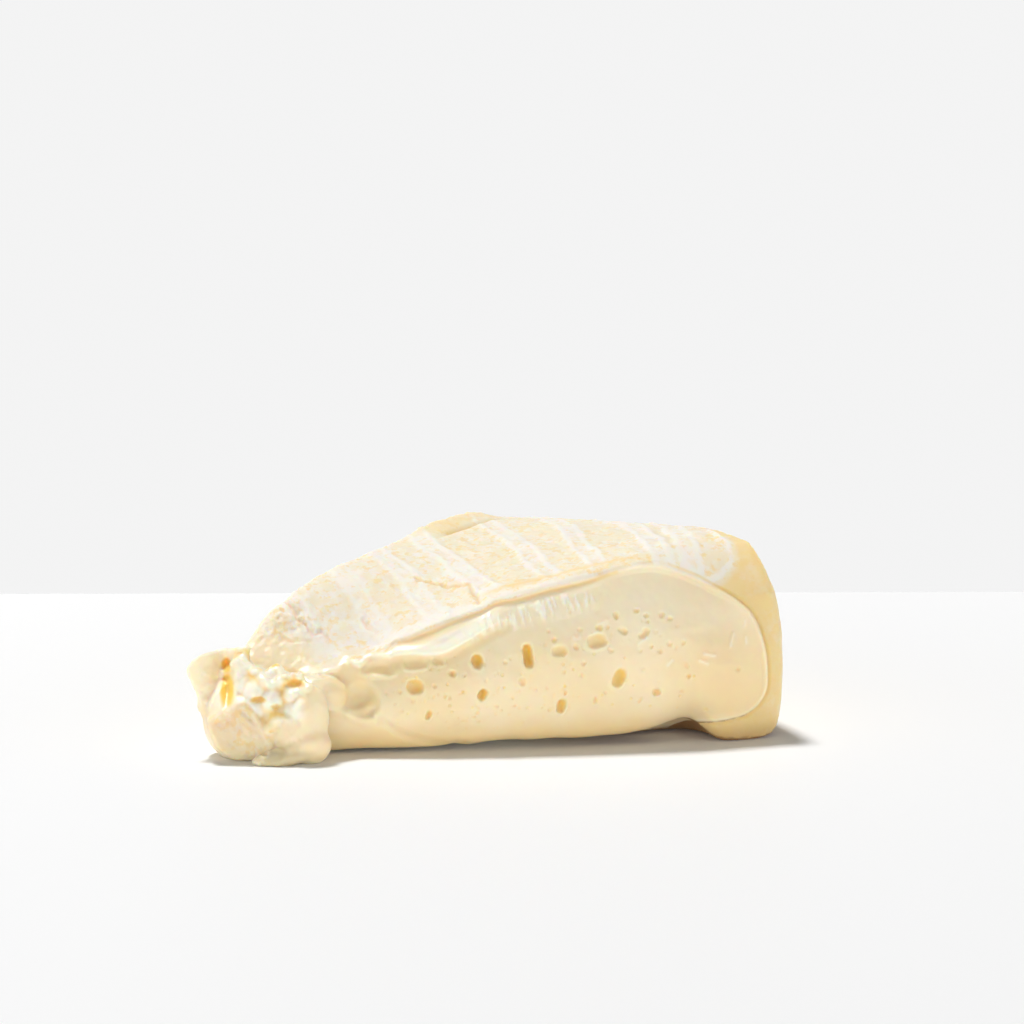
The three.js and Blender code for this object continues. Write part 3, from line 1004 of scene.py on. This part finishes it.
# ---------------------------------------------------------------------------------------------
# Colour and finish
# ---------------------------------------------------------------------------------------------


def fold_share(skin):
    """1 on the folded end of the rind, on the side that faces the open."""
    return smooth(inside_fold(skin) / 0.8 + 0.4) * rise(-skin.away, -2, 3)


def rind_share(skin):
    """1 on the rind, 0 on the paste."""
    front = skin.on_front * smooth(skin.front_paste / 0.5 + 0.5)
    back = skin.on_back * smooth(skin.back_paste / 0.5 + 0.5)
    share = (1 - front) * (1 - back)
    top = rise(skin.height - curve(FRONT_TOP, skin.along), -3.5, 2.5) * skin.on_top
    at_point = np.maximum(top * rise(skin.across, 7, 4), fold_share(skin))
    return share * (1 - skin.on_point) + at_point * skin.on_point


def bloom_share(skin):
    """White bloom: thick on the mat's bands, the corner ridge and the cut edge, patchy elsewhere."""
    bloom = 0.34 + 0.75 * band_share(skin) + 0.25 * ripples(skin.points, 9, 7.7, 3)
    bloom += 0.14 * fall(skin.radius, 45, 25) - 0.12 * fall(skin.radius, 19, 8)
    ridge = line_distance(skin.plan, WHITE_RIDGE)
    bloom = np.maximum(bloom + 0.1 * hump(ridge / 9), hump(ridge / 1.3))
    bloom += 0.3 * bell(skin.radius, 22, 10) * smooth(0.5 + ripples(skin.points, 3, 2.7, 2))
    rim = (skin.front_out > -3) & (skin.along < 92) & (skin.on_top < 0.9)
    bloom = np.where(rim, 0.3, bloom)
    cut_edge = along_line(skin.front, RIND_EDGE, 1.3) * (1 - 0.6 * rise(skin.along, 76, 8))
    bloom = np.maximum(bloom, cut_edge * (skin.front_out > -4))
    return bloom * (1 - 0.2 * fold_share(skin) * skin.on_point)


def pink_share(skin):
    """Pink in the cracks and on the folded rind."""
    folded = fold_share(skin) * (0.35 + 0.5 * ripples(skin.points, 4, 6.6, 2))
    folded *= rise(skin.height, 3, 5) * skin.on_point
    return np.maximum(crack_share(skin, 0.75, CRACKS) * skin.on_top, folded)


def under_shade_share(skin):
    """Painted shade in brown: under the outer end, in the hollow there and low on the outer side."""
    under = rise(-skin.normals[:, 2], 0.35, 0.3) * fall(skin.height, 4.5, 2)
    under *= rise(skin.radius, 60, 30)
    hollow = rise(-skin.front_out, 1.2, 1.2) * bell(skin.along, 98, 9) * (skin.height < 5)
    low = 0.45 * fall(skin.height, 0.5, 4) * rise(skin.radius, 98, 6)
    return np.maximum(np.maximum(under, hollow), low)


def paint_skin(skin):
    """Rind, bloom, pink and painted brown shade at each point."""
    return np.stack([rind_share(skin), bloom_share(skin), pink_share(skin), under_shade_share(skin)], 1)


def smooth_rind(skin, wander):
    """Smooth yellow rind: the outer side, the corner above the cut, the curl and the foot."""
    corner = smooth(inside_outline(skin.plan, np.array(YELLOW_CORNER, float)) / 1.6 + 0.3)
    share = np.maximum(corner, rise(skin.radius + wander, 113.5, 2.5))
    share *= 1 - 0.5 * hump(line_distance(skin.plan, WHITE_RIDGE) / 2)
    curl = curl_share(skin) * rise(skin.back_out + 1.2 * wander, -10, 4)
    foot = fall(skin.height, 6, 3) * rise(skin.radius, 60, 20)
    for other in (0.65 * curl, 0.3 * fold_share(skin) * skin.on_point, foot):
        share = np.maximum(share, other)
    return share


def stained_and_shaded_rind(skin, wander):
    """Deeper yellow: along the cut, around the paste, in cracks and at the foot, with painted shade
    under the curl and along cracks.
    """
    cut_edge = (bell(skin.front_out, -3.2, 1.6) + 0.4) * within(skin.along, 55, 5, 102, 4)
    cut_edge *= skin.on_top * (skin.front_out > -5)
    paste_edge = rise(skin.along, 92, 6) * bell(skin.front_paste, -0.5, 0.6)
    paste_edge *= rise(skin.front_out, -5, 2)
    share = np.maximum(0.8 * cut_edge, 0.8 * paste_edge)
    # painted shade in the crease under the curl
    under_curl = curl_share(skin) * bell(-skin.back_out + 0.4 * wander, CREASE_IN, 1.7)
    # deeper yellow in the cracks, partly painted shade along them
    cracked = crack_share(skin, 0.8, (CROSS_CRACK, CRACKS[1])) * skin.on_top
    foot = 0.6 * fall(skin.height, 1, 5) * rise(skin.radius, 98, 6)
    for other in (under_curl, cracked, foot):
        share = np.maximum(share, other)
    return share


def shaded_low_paste(skin, wander):
    """Painted shade: darker paste near the underside, where shade falls, and darker towards the outer
    end.
    """
    low = fall(skin.height + 0.8 * wander, 0.8, 7.5)
    low *= rise(skin.along, 18, 12) * rise(skin.front_out, -6, 3)
    return np.maximum(low, 0.5 * rise(skin.along, 86, 20))


def paint_sides(skin):
    """Smooth yellow rind, stained rind with painted shade under the curl, and painted shade low on the
    paste, at each point.
    """
    wander = 1.5 * ripples(skin.points, 6, 4.9, 2)
    shares = smooth_rind(skin, wander), stained_and_shaded_rind(skin, wander), shaded_low_paste(skin, wander)
    return np.stack([*shares, np.ones(len(wander))], 1)


def eye_shade(skin):
    """Painted shade in the eyes and dimples: how deep in one each point lies, strongest towards its
    shaded side.
    """
    depth = np.zeros(len(skin.points))
    for eye in (*FRONT_EYES, *front_pits()):
        shade_strength = min(1, 0.1 + eye[-1] / 2.7)
        shade = 0.45 * (skin.along - eye[0]) / eye[2] + 0.15 * (skin.height - eye[1]) / eye[3]
        inside = smooth((1.15 - eye_reach(skin.front, eye)) / 0.55)
        depth = np.maximum(depth, shade_strength * (0.45 + 0.55 * smooth(0.55 + shade)) * inside)
    # painted shade in the dimples, strongest towards their lower right
    for dimple in DIMPLES:
        shade_strength = min(0.22, 0.8 / dimple[3])
        shade = (skin.along - dimple[0] - skin.height + dimple[1]) / (2.8 * dimple[2])
        inside = smooth((1.05 - eye_reach(skin.front, dimple)) / 0.5)
        depth = np.maximum(depth, shade_strength * (0.3 + 0.7 * smooth(0.5 + shade)) * inside)
    depth *= skin.on_front > 0.02
    # painted shade in the eyes of the back cut face
    for eye in back_eyes():
        shade_strength = min(1, eye[-1] / 3.2) * (skin.on_back > 0.02)
        depth = np.maximum(depth, shade_strength * smooth(1.2 - eye_reach(skin.back, eye)))
    return depth


def line_shade(skin):
    """Painted shade in the groove, under the lip's foot and in the clefts: how deep in one each point
    lies.
    """
    wide = wide_groove(skin.along)
    groove = hump(line_distance(skin.front, rounded_line(GROOVE, 3)) / (0.7 + 0.9 * wide))
    groove *= (0.4 - 0.16 * wide) * rise(skin.along, 36, 3) * (skin.front_out > -2)
    foot = 0.1 * along_line(skin.front - (0, -1.4), LIP_FOOT, 1.8) * skin.on_front
    depth = np.maximum(groove, foot)
    facing = (skin.normals @ POINT_AWAY < 0.3) * skin.on_point
    for cleft in CLEFTS:
        shade_strength = min(0.8, cleft[-1] / 1.8) * smooth(2.1 - 1.5 * cleft_reach(skin, cleft))
        depth = np.maximum(depth, shade_strength * facing)
    return depth


def wet_and_highlight_share(skin):
    """Wet, pale paste, partly painted highlight: the lip, the streaks, torn edges, flecks, the flap and
    the upper face, which is painted paler as where more light falls.
    """
    ridges = along_line(skin.front, LIP_TOP, 0.7) + along_line(skin.front - (0, 0.9), LIP_FOOT, 1.7)
    on_face = [
        np.clip(0.85 + 0.3 * ridges, 0, 1) * lip_share(skin.front),
        streak_share(skin.front),
        0.8 * along_line(skin.front, TORN_RIDGE, 1.1),
        # painted light: the upper face paler, as where more light falls
        0.38 * rise(skin.height, 17, 10),
        *(0.6 * along_line(skin.front, fleck, 0.5) for fleck in FLECKS),
    ]
    # painted highlight: a pale line just inside the paste's edge at the outer end
    paste_edge = bell(skin.front_paste, 0.4, 0.5) * rise(skin.along, 88, 6)
    paste_edge *= 0.35 + 0.3 * ripples(skin.points, 4, 8.8)
    flap = 0.6 * fall(skin.across, 4, 3) * rise(skin.height, 9.5, 2) * skin.on_point
    wet_and_highlight = np.max(on_face, axis=0) * skin.on_front
    return np.maximum(np.maximum(wet_and_highlight, paste_edge), flap)


def paint_flesh(skin):
    """Painted shade in cavities and between curds, wetness with painted highlight, pores with painted
    shade and clear runny paste at each point.
    """
    cells = curd_cells(skin)
    curds = curd_share(skin) * skin.on_point
    depth = np.maximum(eye_shade(skin), line_shade(skin))
    # painted shade in the cracks between the curds
    depth = np.maximum(depth, 0.55 * curds * rise(cells, 0.62, 0.2))
    # painted highlight on the middles of the curds
    wet_and_highlight = np.maximum(wet_and_highlight_share(skin), curds * fall(cells, 0.48, 0.2))
    pores = within(skin.along, 34, 5, 96, 12) * bell(skin.height, 13.5, 11) * skin.on_front
    run = fall(skin.height, 2.1, 1.5) * rise(skin.across, 9, 3) * rise(-skin.away, 2, 3)
    return np.stack([depth, wet_and_highlight, pores, run * skin.on_point], 1)


def write_colours(piece, name, values):
    """Stores four values for each point as a colour attribute."""
    attribute = piece.data.color_attributes.new(name, "FLOAT_COLOR", "POINT")
    attribute.data.foreach_set("color", np.clip(values, 0, 1).astype(np.float32).ravel())


class Nodes:
    """Adds and joins the nodes of one material or of the world."""

    def __init__(self, name, blocks=None):
        self.block = (bpy.data.materials if blocks is None else blocks).new(name)
        self.block.use_nodes = True
        self.tree = self.block.node_tree
        self.tree.nodes.clear()

    def add(self, kind, inputs=None, **settings):
        """A node with its settings, and its inputs given as values or as sockets to join."""
        node = self.tree.nodes.new(kind)
        for key, value in settings.items():
            setattr(node, key, value)
        for key, value in (inputs or {}).items():
            if isinstance(value, bpy.types.NodeSocket):
                self.tree.links.new(value, node.inputs[key])
            else:
                node.inputs[key].default_value = value
        return node

    def mix(self, share, first, second):
        """A colour between two colours."""
        node = self.add("ShaderNodeMix", data_type="RGBA")
        sockets = node.inputs[0], node.inputs[6], node.inputs[7]  # the share and two colours
        for socket, value in zip(sockets, (share, first, second)):
            if isinstance(value, bpy.types.NodeSocket):
                self.tree.links.new(value, socket)
            else:
                socket.default_value = value
        return node.outputs[2]

    def math(self, operation, first, second):
        """The result of one sum."""
        return self.add("ShaderNodeMath", {0: first, 1: second}, operation=operation).outputs[0]

    def scaled(self, value, factor):
        """A value times a factor."""
        return self.math("MULTIPLY", value, factor)

    def spread(self, value, low, high, to_low=0.0, to_high=1.0):
        """Maps a value from low..high to to_low..to_high, with soft ends."""
        ends = {"From Min": low, "From Max": high, "To Min": to_low, "To Max": to_high}
        kind = "ShaderNodeMapRange"
        return self.add(kind, {"Value": value, **ends}, interpolation_type="SMOOTHSTEP").outputs[0]

    def noise(self, places, scale, detail=3.0, roughness=0.55):
        """Cloudy noise around 0.5, with that many cells per metre."""
        settings = {"Vector": places, "Scale": scale, "Detail": detail, "Roughness": roughness}
        return self.add("ShaderNodeTexNoise", settings).outputs["Fac"]


# skin carries painted shade under the wedge; flesh carries painted shade in cavities and painted
# highlight; sides carries painted shade low on the paste and under the curl
PAINTS = ("skin", "flesh", "sides")  # the attributes that share out the finish

# How many cells per metre each pattern has, from slow shifts of tone to the finest wrinkles.
TONE_SCALE = 70
SIDE_SCALE = 130
PATCH_SCALE = 300
FILM_SCALE = 330
PORE_SCALE = 520
WRINKLE_SCALE = 620


def opaque(colour):
    """The colour with full strength as its fourth value."""
    return (*colour, 1.0)


def paste_colour(nodes, places, flesh, low, clear, colours):
    """Soft paste: slow shifts of tone, painted shade low down, in the amber cavities and in the pores,
    pale wet parts with painted highlight, and pale runny bits.
    """
    tone = nodes.spread(nodes.noise(places, TONE_SCALE, 2), 0.35, 0.7)
    colour = nodes.mix(tone, opaque(colours.paste), opaque(colours.paste_warm))
    # painted shade: darker paste near the underside
    colour = nodes.mix(nodes.scaled(low, 0.85), colour, opaque(colours.shaded_paste))
    pores = nodes.scaled(pore_spots(nodes, places), flesh.outputs[2])
    # painted shade in the pores
    colour = nodes.mix(nodes.scaled(pores, 0.35), colour, opaque(colours.deep))
    # pale wet paste and painted highlight
    colour = nodes.mix(nodes.scaled(flesh.outputs[1], 0.85), colour, opaque(colours.wet_and_highlight))
    colour = nodes.mix(nodes.scaled(clear, 0.8), colour, opaque(colours.clear))
    # painted shade in eyes, dimples, the groove, under the lip and in clefts
    return nodes.mix(flesh.outputs[0], colour, opaque(colours.deep))


def pore_spots(nodes, places):
    """Small round spots, one in some of the cells."""
    settings = {"Vector": places, "Scale": PORE_SCALE, "Randomness": 0.95}
    cells = nodes.add("ShaderNodeTexVoronoi", settings)
    spot = nodes.spread(cells.outputs["Distance"], 0.24, 0.1)
    chosen = nodes.add("ShaderNodeSeparateColor", {0: cells.outputs["Color"]})
    return nodes.scaled(spot, nodes.spread(chosen.outputs[0], 0.55, 0.65))


def rind_colour(nodes, places, skin, sides, under_shade, colours):
    """The rind's colour, from its ground to its cracks, with painted shade under the wedge, and the
    pattern of its wrinkles.
    """
    wrinkles = nodes.noise(places, WRINKLE_SCALE, 5, 0.66)
    patches = nodes.noise(places, PATCH_SCALE, 4, 0.6)
    lighter = nodes.spread(patches, 0.42, 0.6)
    ground = nodes.mix(lighter, opaque(colours.rind), opaque(colours.ground_light))
    clustered = nodes.math("ADD", nodes.scaled(wrinkles, 0.55), nodes.scaled(patches, 0.45))
    ground = nodes.mix(nodes.spread(clustered, 0.48, 0.58), ground, opaque(colours.speck))
    patchy = nodes.scaled(nodes.math("SUBTRACT", patches, 0.5), 2.0)
    bare = nodes.scaled(nodes.spread(clustered, 0.5, 0.62), 0.45)
    cover = nodes.math("SUBTRACT", nodes.math("ADD", skin.outputs[1], patchy), bare)
    colour = nodes.mix(nodes.spread(cover, 0.2, 0.85), ground, opaque(colours.bloom))
    faint = nodes.spread(nodes.noise(places, SIDE_SCALE, 4, 0.6), 0.5, 0.72, 0, 0.45)
    plain = nodes.mix(faint, opaque(colours.side), opaque(colours.bloom))
    colour = nodes.mix(nodes.scaled(sides.outputs[0], 0.9), colour, plain)
    colour = nodes.mix(nodes.scaled(sides.outputs[1], 0.6), colour, opaque(colours.stain_and_shade))
    colour = nodes.mix(nodes.scaled(skin.outputs[2], 0.6), colour, opaque(colours.pink))
    # painted shade: dark brown under the wedge, in the notch and at the foot
    return nodes.mix(under_shade, colour, opaque(colours.under_shade)), wrinkles


def cheese_material(sizes, colours):
    """One finish for rind and paste, shared out by the painted attributes."""
    nodes = Nodes("soft_cheese")
    places = nodes.add("ShaderNodeTexCoord").outputs["Object"]
    painted = [nodes.add("ShaderNodeAttribute", attribute_name=name) for name in PAINTS]
    under_shade, clear = (paint.outputs["Alpha"] for paint in painted[:2])
    skin, flesh, sides = (
        nodes.add("ShaderNodeSeparateColor", {0: paint.outputs["Color"]}) for paint in painted
    )
    paste = paste_colour(nodes, places, flesh, sides.outputs[2], clear, colours)
    rind, wrinkles = rind_colour(nodes, places, skin, sides, under_shade, colours)
    colour = nodes.mix(skin.outputs[0], paste, rind)
    dry = nodes.spread(skin.outputs[0], 0, 1, 0.36, 0.72)
    roughness = nodes.math("SUBTRACT", dry, nodes.scaled(flesh.outputs[1], 0.08))
    grain = nodes.scaled(wrinkles, skin.outputs[0])
    pores = nodes.scaled(pore_spots(nodes, places), flesh.outputs[2])
    film = nodes.scaled(nodes.noise(places, FILM_SCALE, 3), 0.25)
    height = nodes.math("ADD", nodes.math("SUBTRACT", grain, pores), film)
    bump = nodes.add("ShaderNodeBump", {"Height": height, "Strength": 0.5, "Distance": 0.25 * MM})
    shader = nodes.add(
        "ShaderNodeBsdfPrincipled",
        {
            "Base Color": colour,
            "Roughness": roughness,
            "Normal": bump.outputs[0],
            "IOR": 1.42,
            "Subsurface Weight": 0.85,
            "Subsurface Radius": (1.0, 0.62, 0.28),
            "Subsurface Scale": sizes.scatter,
        },
    )
    nodes.add("ShaderNodeOutputMaterial", {"Surface": shader.outputs[0]})
    return nodes.block


def plain_material(name, colour, roughness):
    """One colour all over, for the slab."""
    nodes = Nodes(name)
    settings = {"Base Color": opaque(colour), "Roughness": roughness}
    shader = nodes.add("ShaderNodeBsdfPrincipled", settings)
    nodes.add("ShaderNodeOutputMaterial", {"Surface": shader.outputs[0]})
    return nodes.block


# ---------------------------------------------------------------------------------------------
# Stage
# ---------------------------------------------------------------------------------------------

SLAB_SIZE = (3.0, 2.4, 0.03)  # wide, deep, thick, in metres
SLAB_START = (60.0, 0.0, 0.0)  # the slab's back edge is measured from here, in millimetres
SLAB_COLOUR = (0.9, 0.9, 0.9)
SLAB_ROUGHNESS = 0.6
CAMERA_PLACE = (-414.0, -730.0, 168.5)  # millimetres from the wheel's centre
CAMERA_PITCH = math.radians(-8.08)
CAMERA_HEADING = math.radians(-33.75)
# Brightness of the room, from level with the slab and below it (0) to overhead (1).
ROOM_LIGHT = (
    (0, 0.22), (0.02, 1), (0.1, 0.79), (0.2, 0.34), (0.4, 0.08), (0.7, 0.025), (1, 0.015),
)
FAR_DIM = 0.5  # how much darker the room is behind the cheese
WALL_LIGHT = 0.2004  # brightness of the room as the camera sees it behind the slab
# The lamp, as the torn point is laid out: across, away and up, in millimetres.
LAMP_PLACE = (-560, 1020, 3000)
LAMP_AIM = (50, 20, 10)
LAMP_SIZE = (0.55, 0.5)


def model_slab(behind):
    """The pale slab: a cube at its size, turned square to the view, with softened edges."""
    _, deep, thick = SLAB_SIZE
    slab = new_piece(bpy.ops.mesh.primitive_cube_add, "slab", size=1)
    points = own_points(slab) * SLAB_SIZE + (0, behind - deep / 2, -thick / 2)
    place_points(slab, to_wheel(points / MM) + np.array(SLAB_START))
    finish_modifier(slab, "BEVEL", width=2 * MM, segments=3)
    slab.data.materials.append(plain_material("pale_slab", SLAB_COLOUR, SLAB_ROUGHNESS))


def pale_room(sky):
    """A pale room, brightest just above the slab's level and dimmer behind the cheese."""
    nodes = Nodes("pale_room", bpy.data.worlds)
    heading = nodes.add("ShaderNodeTexCoord").outputs["Generated"]
    height = nodes.add("ShaderNodeSeparateXYZ", {0: heading}).outputs[2]
    ramp = nodes.add("ShaderNodeValToRGB", {0: height})
    stops = ramp.color_ramp.elements
    while len(stops) < len(ROOM_LIGHT):
        stops.new(0.5)
    for stop, (place, bright) in zip(stops, ROOM_LIGHT):
        stop.position = place
        stop.color = (bright, bright, bright, 1)
    directions = {0: heading, 1: tuple(POINT_AWAY)}
    away = nodes.add("ShaderNodeVectorMath", directions, operation="DOT_PRODUCT")
    dimmed = nodes.spread(away.outputs["Value"], -0.2, 0.7, 0, FAR_DIM)
    room = nodes.mix(dimmed, ramp.outputs[0], (0, 0, 0, 1))
    seen = nodes.add("ShaderNodeLightPath").outputs["Is Camera Ray"]
    colour = nodes.mix(seen, room, (WALL_LIGHT, WALL_LIGHT, WALL_LIGHT, 1))
    background = nodes.add("ShaderNodeBackground", {"Color": colour, "Strength": sky})
    nodes.add("ShaderNodeOutputWorld", {"Surface": background.outputs[0]})
    return nodes.block


def hang_lamp(power):
    """A soft lamp, high above the cheese and a little behind it."""
    lamp = bpy.data.lights.new("soft_overhead", "AREA")
    lamp.shape = "RECTANGLE"
    lamp.size, lamp.size_y = LAMP_SIZE
    lamp.energy = power
    holder = bpy.data.objects.new("soft_overhead", lamp)
    holder.location = WHEEL_CENTRE + point_place(*LAMP_PLACE) * MM
    x, y, z = np.array(holder.location) - WHEEL_CENTRE - point_place(*LAMP_AIM) * MM
    holder.rotation_euler = (math.atan2(math.hypot(x, y), z), 0, math.atan2(x, -y))
    bpy.context.scene.collection.objects.link(holder)


def set_camera(lens):
    """The camera, low in front of the cut face."""
    camera = bpy.data.cameras.new("studio_camera")
    camera.lens = lens
    camera.sensor_width = 36.0
    camera.clip_start = 0.01
    holder = bpy.data.objects.new("studio_camera", camera)
    holder.location = WHEEL_CENTRE + np.array(CAMERA_PLACE) * MM
    holder.rotation_euler = (math.pi / 2 + CAMERA_PITCH, 0, CAMERA_HEADING)
    bpy.context.scene.collection.objects.link(holder)
    bpy.context.scene.camera = holder


# ---------------------------------------------------------------------------------------------
# Operators
# ---------------------------------------------------------------------------------------------


class CHEESE_OT_model(bpy.types.Operator):
    """Model the wedge and its torn point, and grow them together into one skin"""

    bl_idname = "cheese.model"
    bl_label = "Model Wedge"

    def execute(self, context):
        piece = model_wedge()
        grow_together(piece, model_point(), context.scene.cheese_sizes.grain)
        return {"FINISHED"}


class CHEESE_OT_shape(bpy.types.Operator):
    """Shape the cut faces, the eyes, the rind and the torn point"""

    bl_idname = "cheese.shape"
    bl_label = "Shape Skin"

    def execute(self, context):
        shape_skin(bpy.data.objects[PIECE], context.scene.cheese_sizes)
        return {"FINISHED"}


class CHEESE_OT_finish(bpy.types.Operator):
    """Paint the rind and the paste, give them their finish and set the piece in the frame"""

    bl_idname = "cheese.finish"
    bl_label = "Finish Wedge"

    def execute(self, context):
        piece = bpy.data.objects[PIECE]
        skin = Skin.of(piece)
        for name, paint in zip(PAINTS, (paint_skin, paint_flesh, paint_sides)):
            write_colours(piece, name, paint(skin))
        sizes, colours = context.scene.cheese_sizes, context.scene.cheese_colours
        piece.data.materials.clear()
        piece.data.materials.append(cheese_material(sizes, colours))
        bpy.ops.object.select_all(action="DESELECT")
        piece.select_set(True)
        context.view_layer.objects.active = piece
        bpy.ops.object.shade_smooth()
        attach(piece, BODY)
        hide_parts(NODE)
        return {"FINISHED"}


class CHEESE_OT_stage(bpy.types.Operator):
    """Set the slab, the light and the camera"""

    bl_idname = "cheese.stage"
    bl_label = "Set Stage"

    def execute(self, context):
        stage = context.scene.cheese_stage
        model_slab(stage.slab_behind)
        context.scene.world = pale_room(stage.sky)
        hang_lamp(stage.key)
        set_camera(stage.lens)
        context.scene.view_settings.view_transform = "Standard"
        return {"FINISHED"}


class CHEESE_PT_panel(bpy.types.Panel):
    """Lists the steps that make the cheese wedge"""

    bl_idname = "CHEESE_PT_panel"
    bl_label = "Cheese Wedge"
    bl_space_type = "VIEW_3D"
    bl_region_type = "UI"
    bl_category = "Cheese"

    def draw(self, context):
        for operator in (CHEESE_OT_model, CHEESE_OT_shape, CHEESE_OT_finish, CHEESE_OT_stage):
            self.layout.operator(operator.bl_idname)
        for group in ("cheese_sizes", "cheese_colours", "cheese_stage"):
            settings = getattr(context.scene, group)
            for name in settings.__annotations__:
                self.layout.prop(settings, name)


CLASSES = (
    CheeseSizes, CheeseColours, StageSizes,
    CHEESE_OT_model, CHEESE_OT_shape, CHEESE_OT_finish, CHEESE_OT_stage, CHEESE_PT_panel,
)


def register():
    """Makes the sizes, colours, steps and panel known."""
    for each in CLASSES:
        bpy.utils.register_class(each)
    bpy.types.Scene.cheese_sizes = bpy.props.PointerProperty(type=CheeseSizes)
    bpy.types.Scene.cheese_colours = bpy.props.PointerProperty(type=CheeseColours)
    bpy.types.Scene.cheese_stage = bpy.props.PointerProperty(type=StageSizes)


def unregister():
    """Takes them all away again."""
    del bpy.types.Scene.cheese_stage
    del bpy.types.Scene.cheese_colours
    del bpy.types.Scene.cheese_sizes
    for each in reversed(CLASSES):
        bpy.utils.unregister_class(each)


def main():
    """Makes the cheese and its stage."""
    register()
    bpy.ops.cheese.model()
    bpy.ops.cheese.shape()
    bpy.ops.cheese.finish()
    bpy.ops.cheese.stage()


if __name__ == "__main__":
    main()
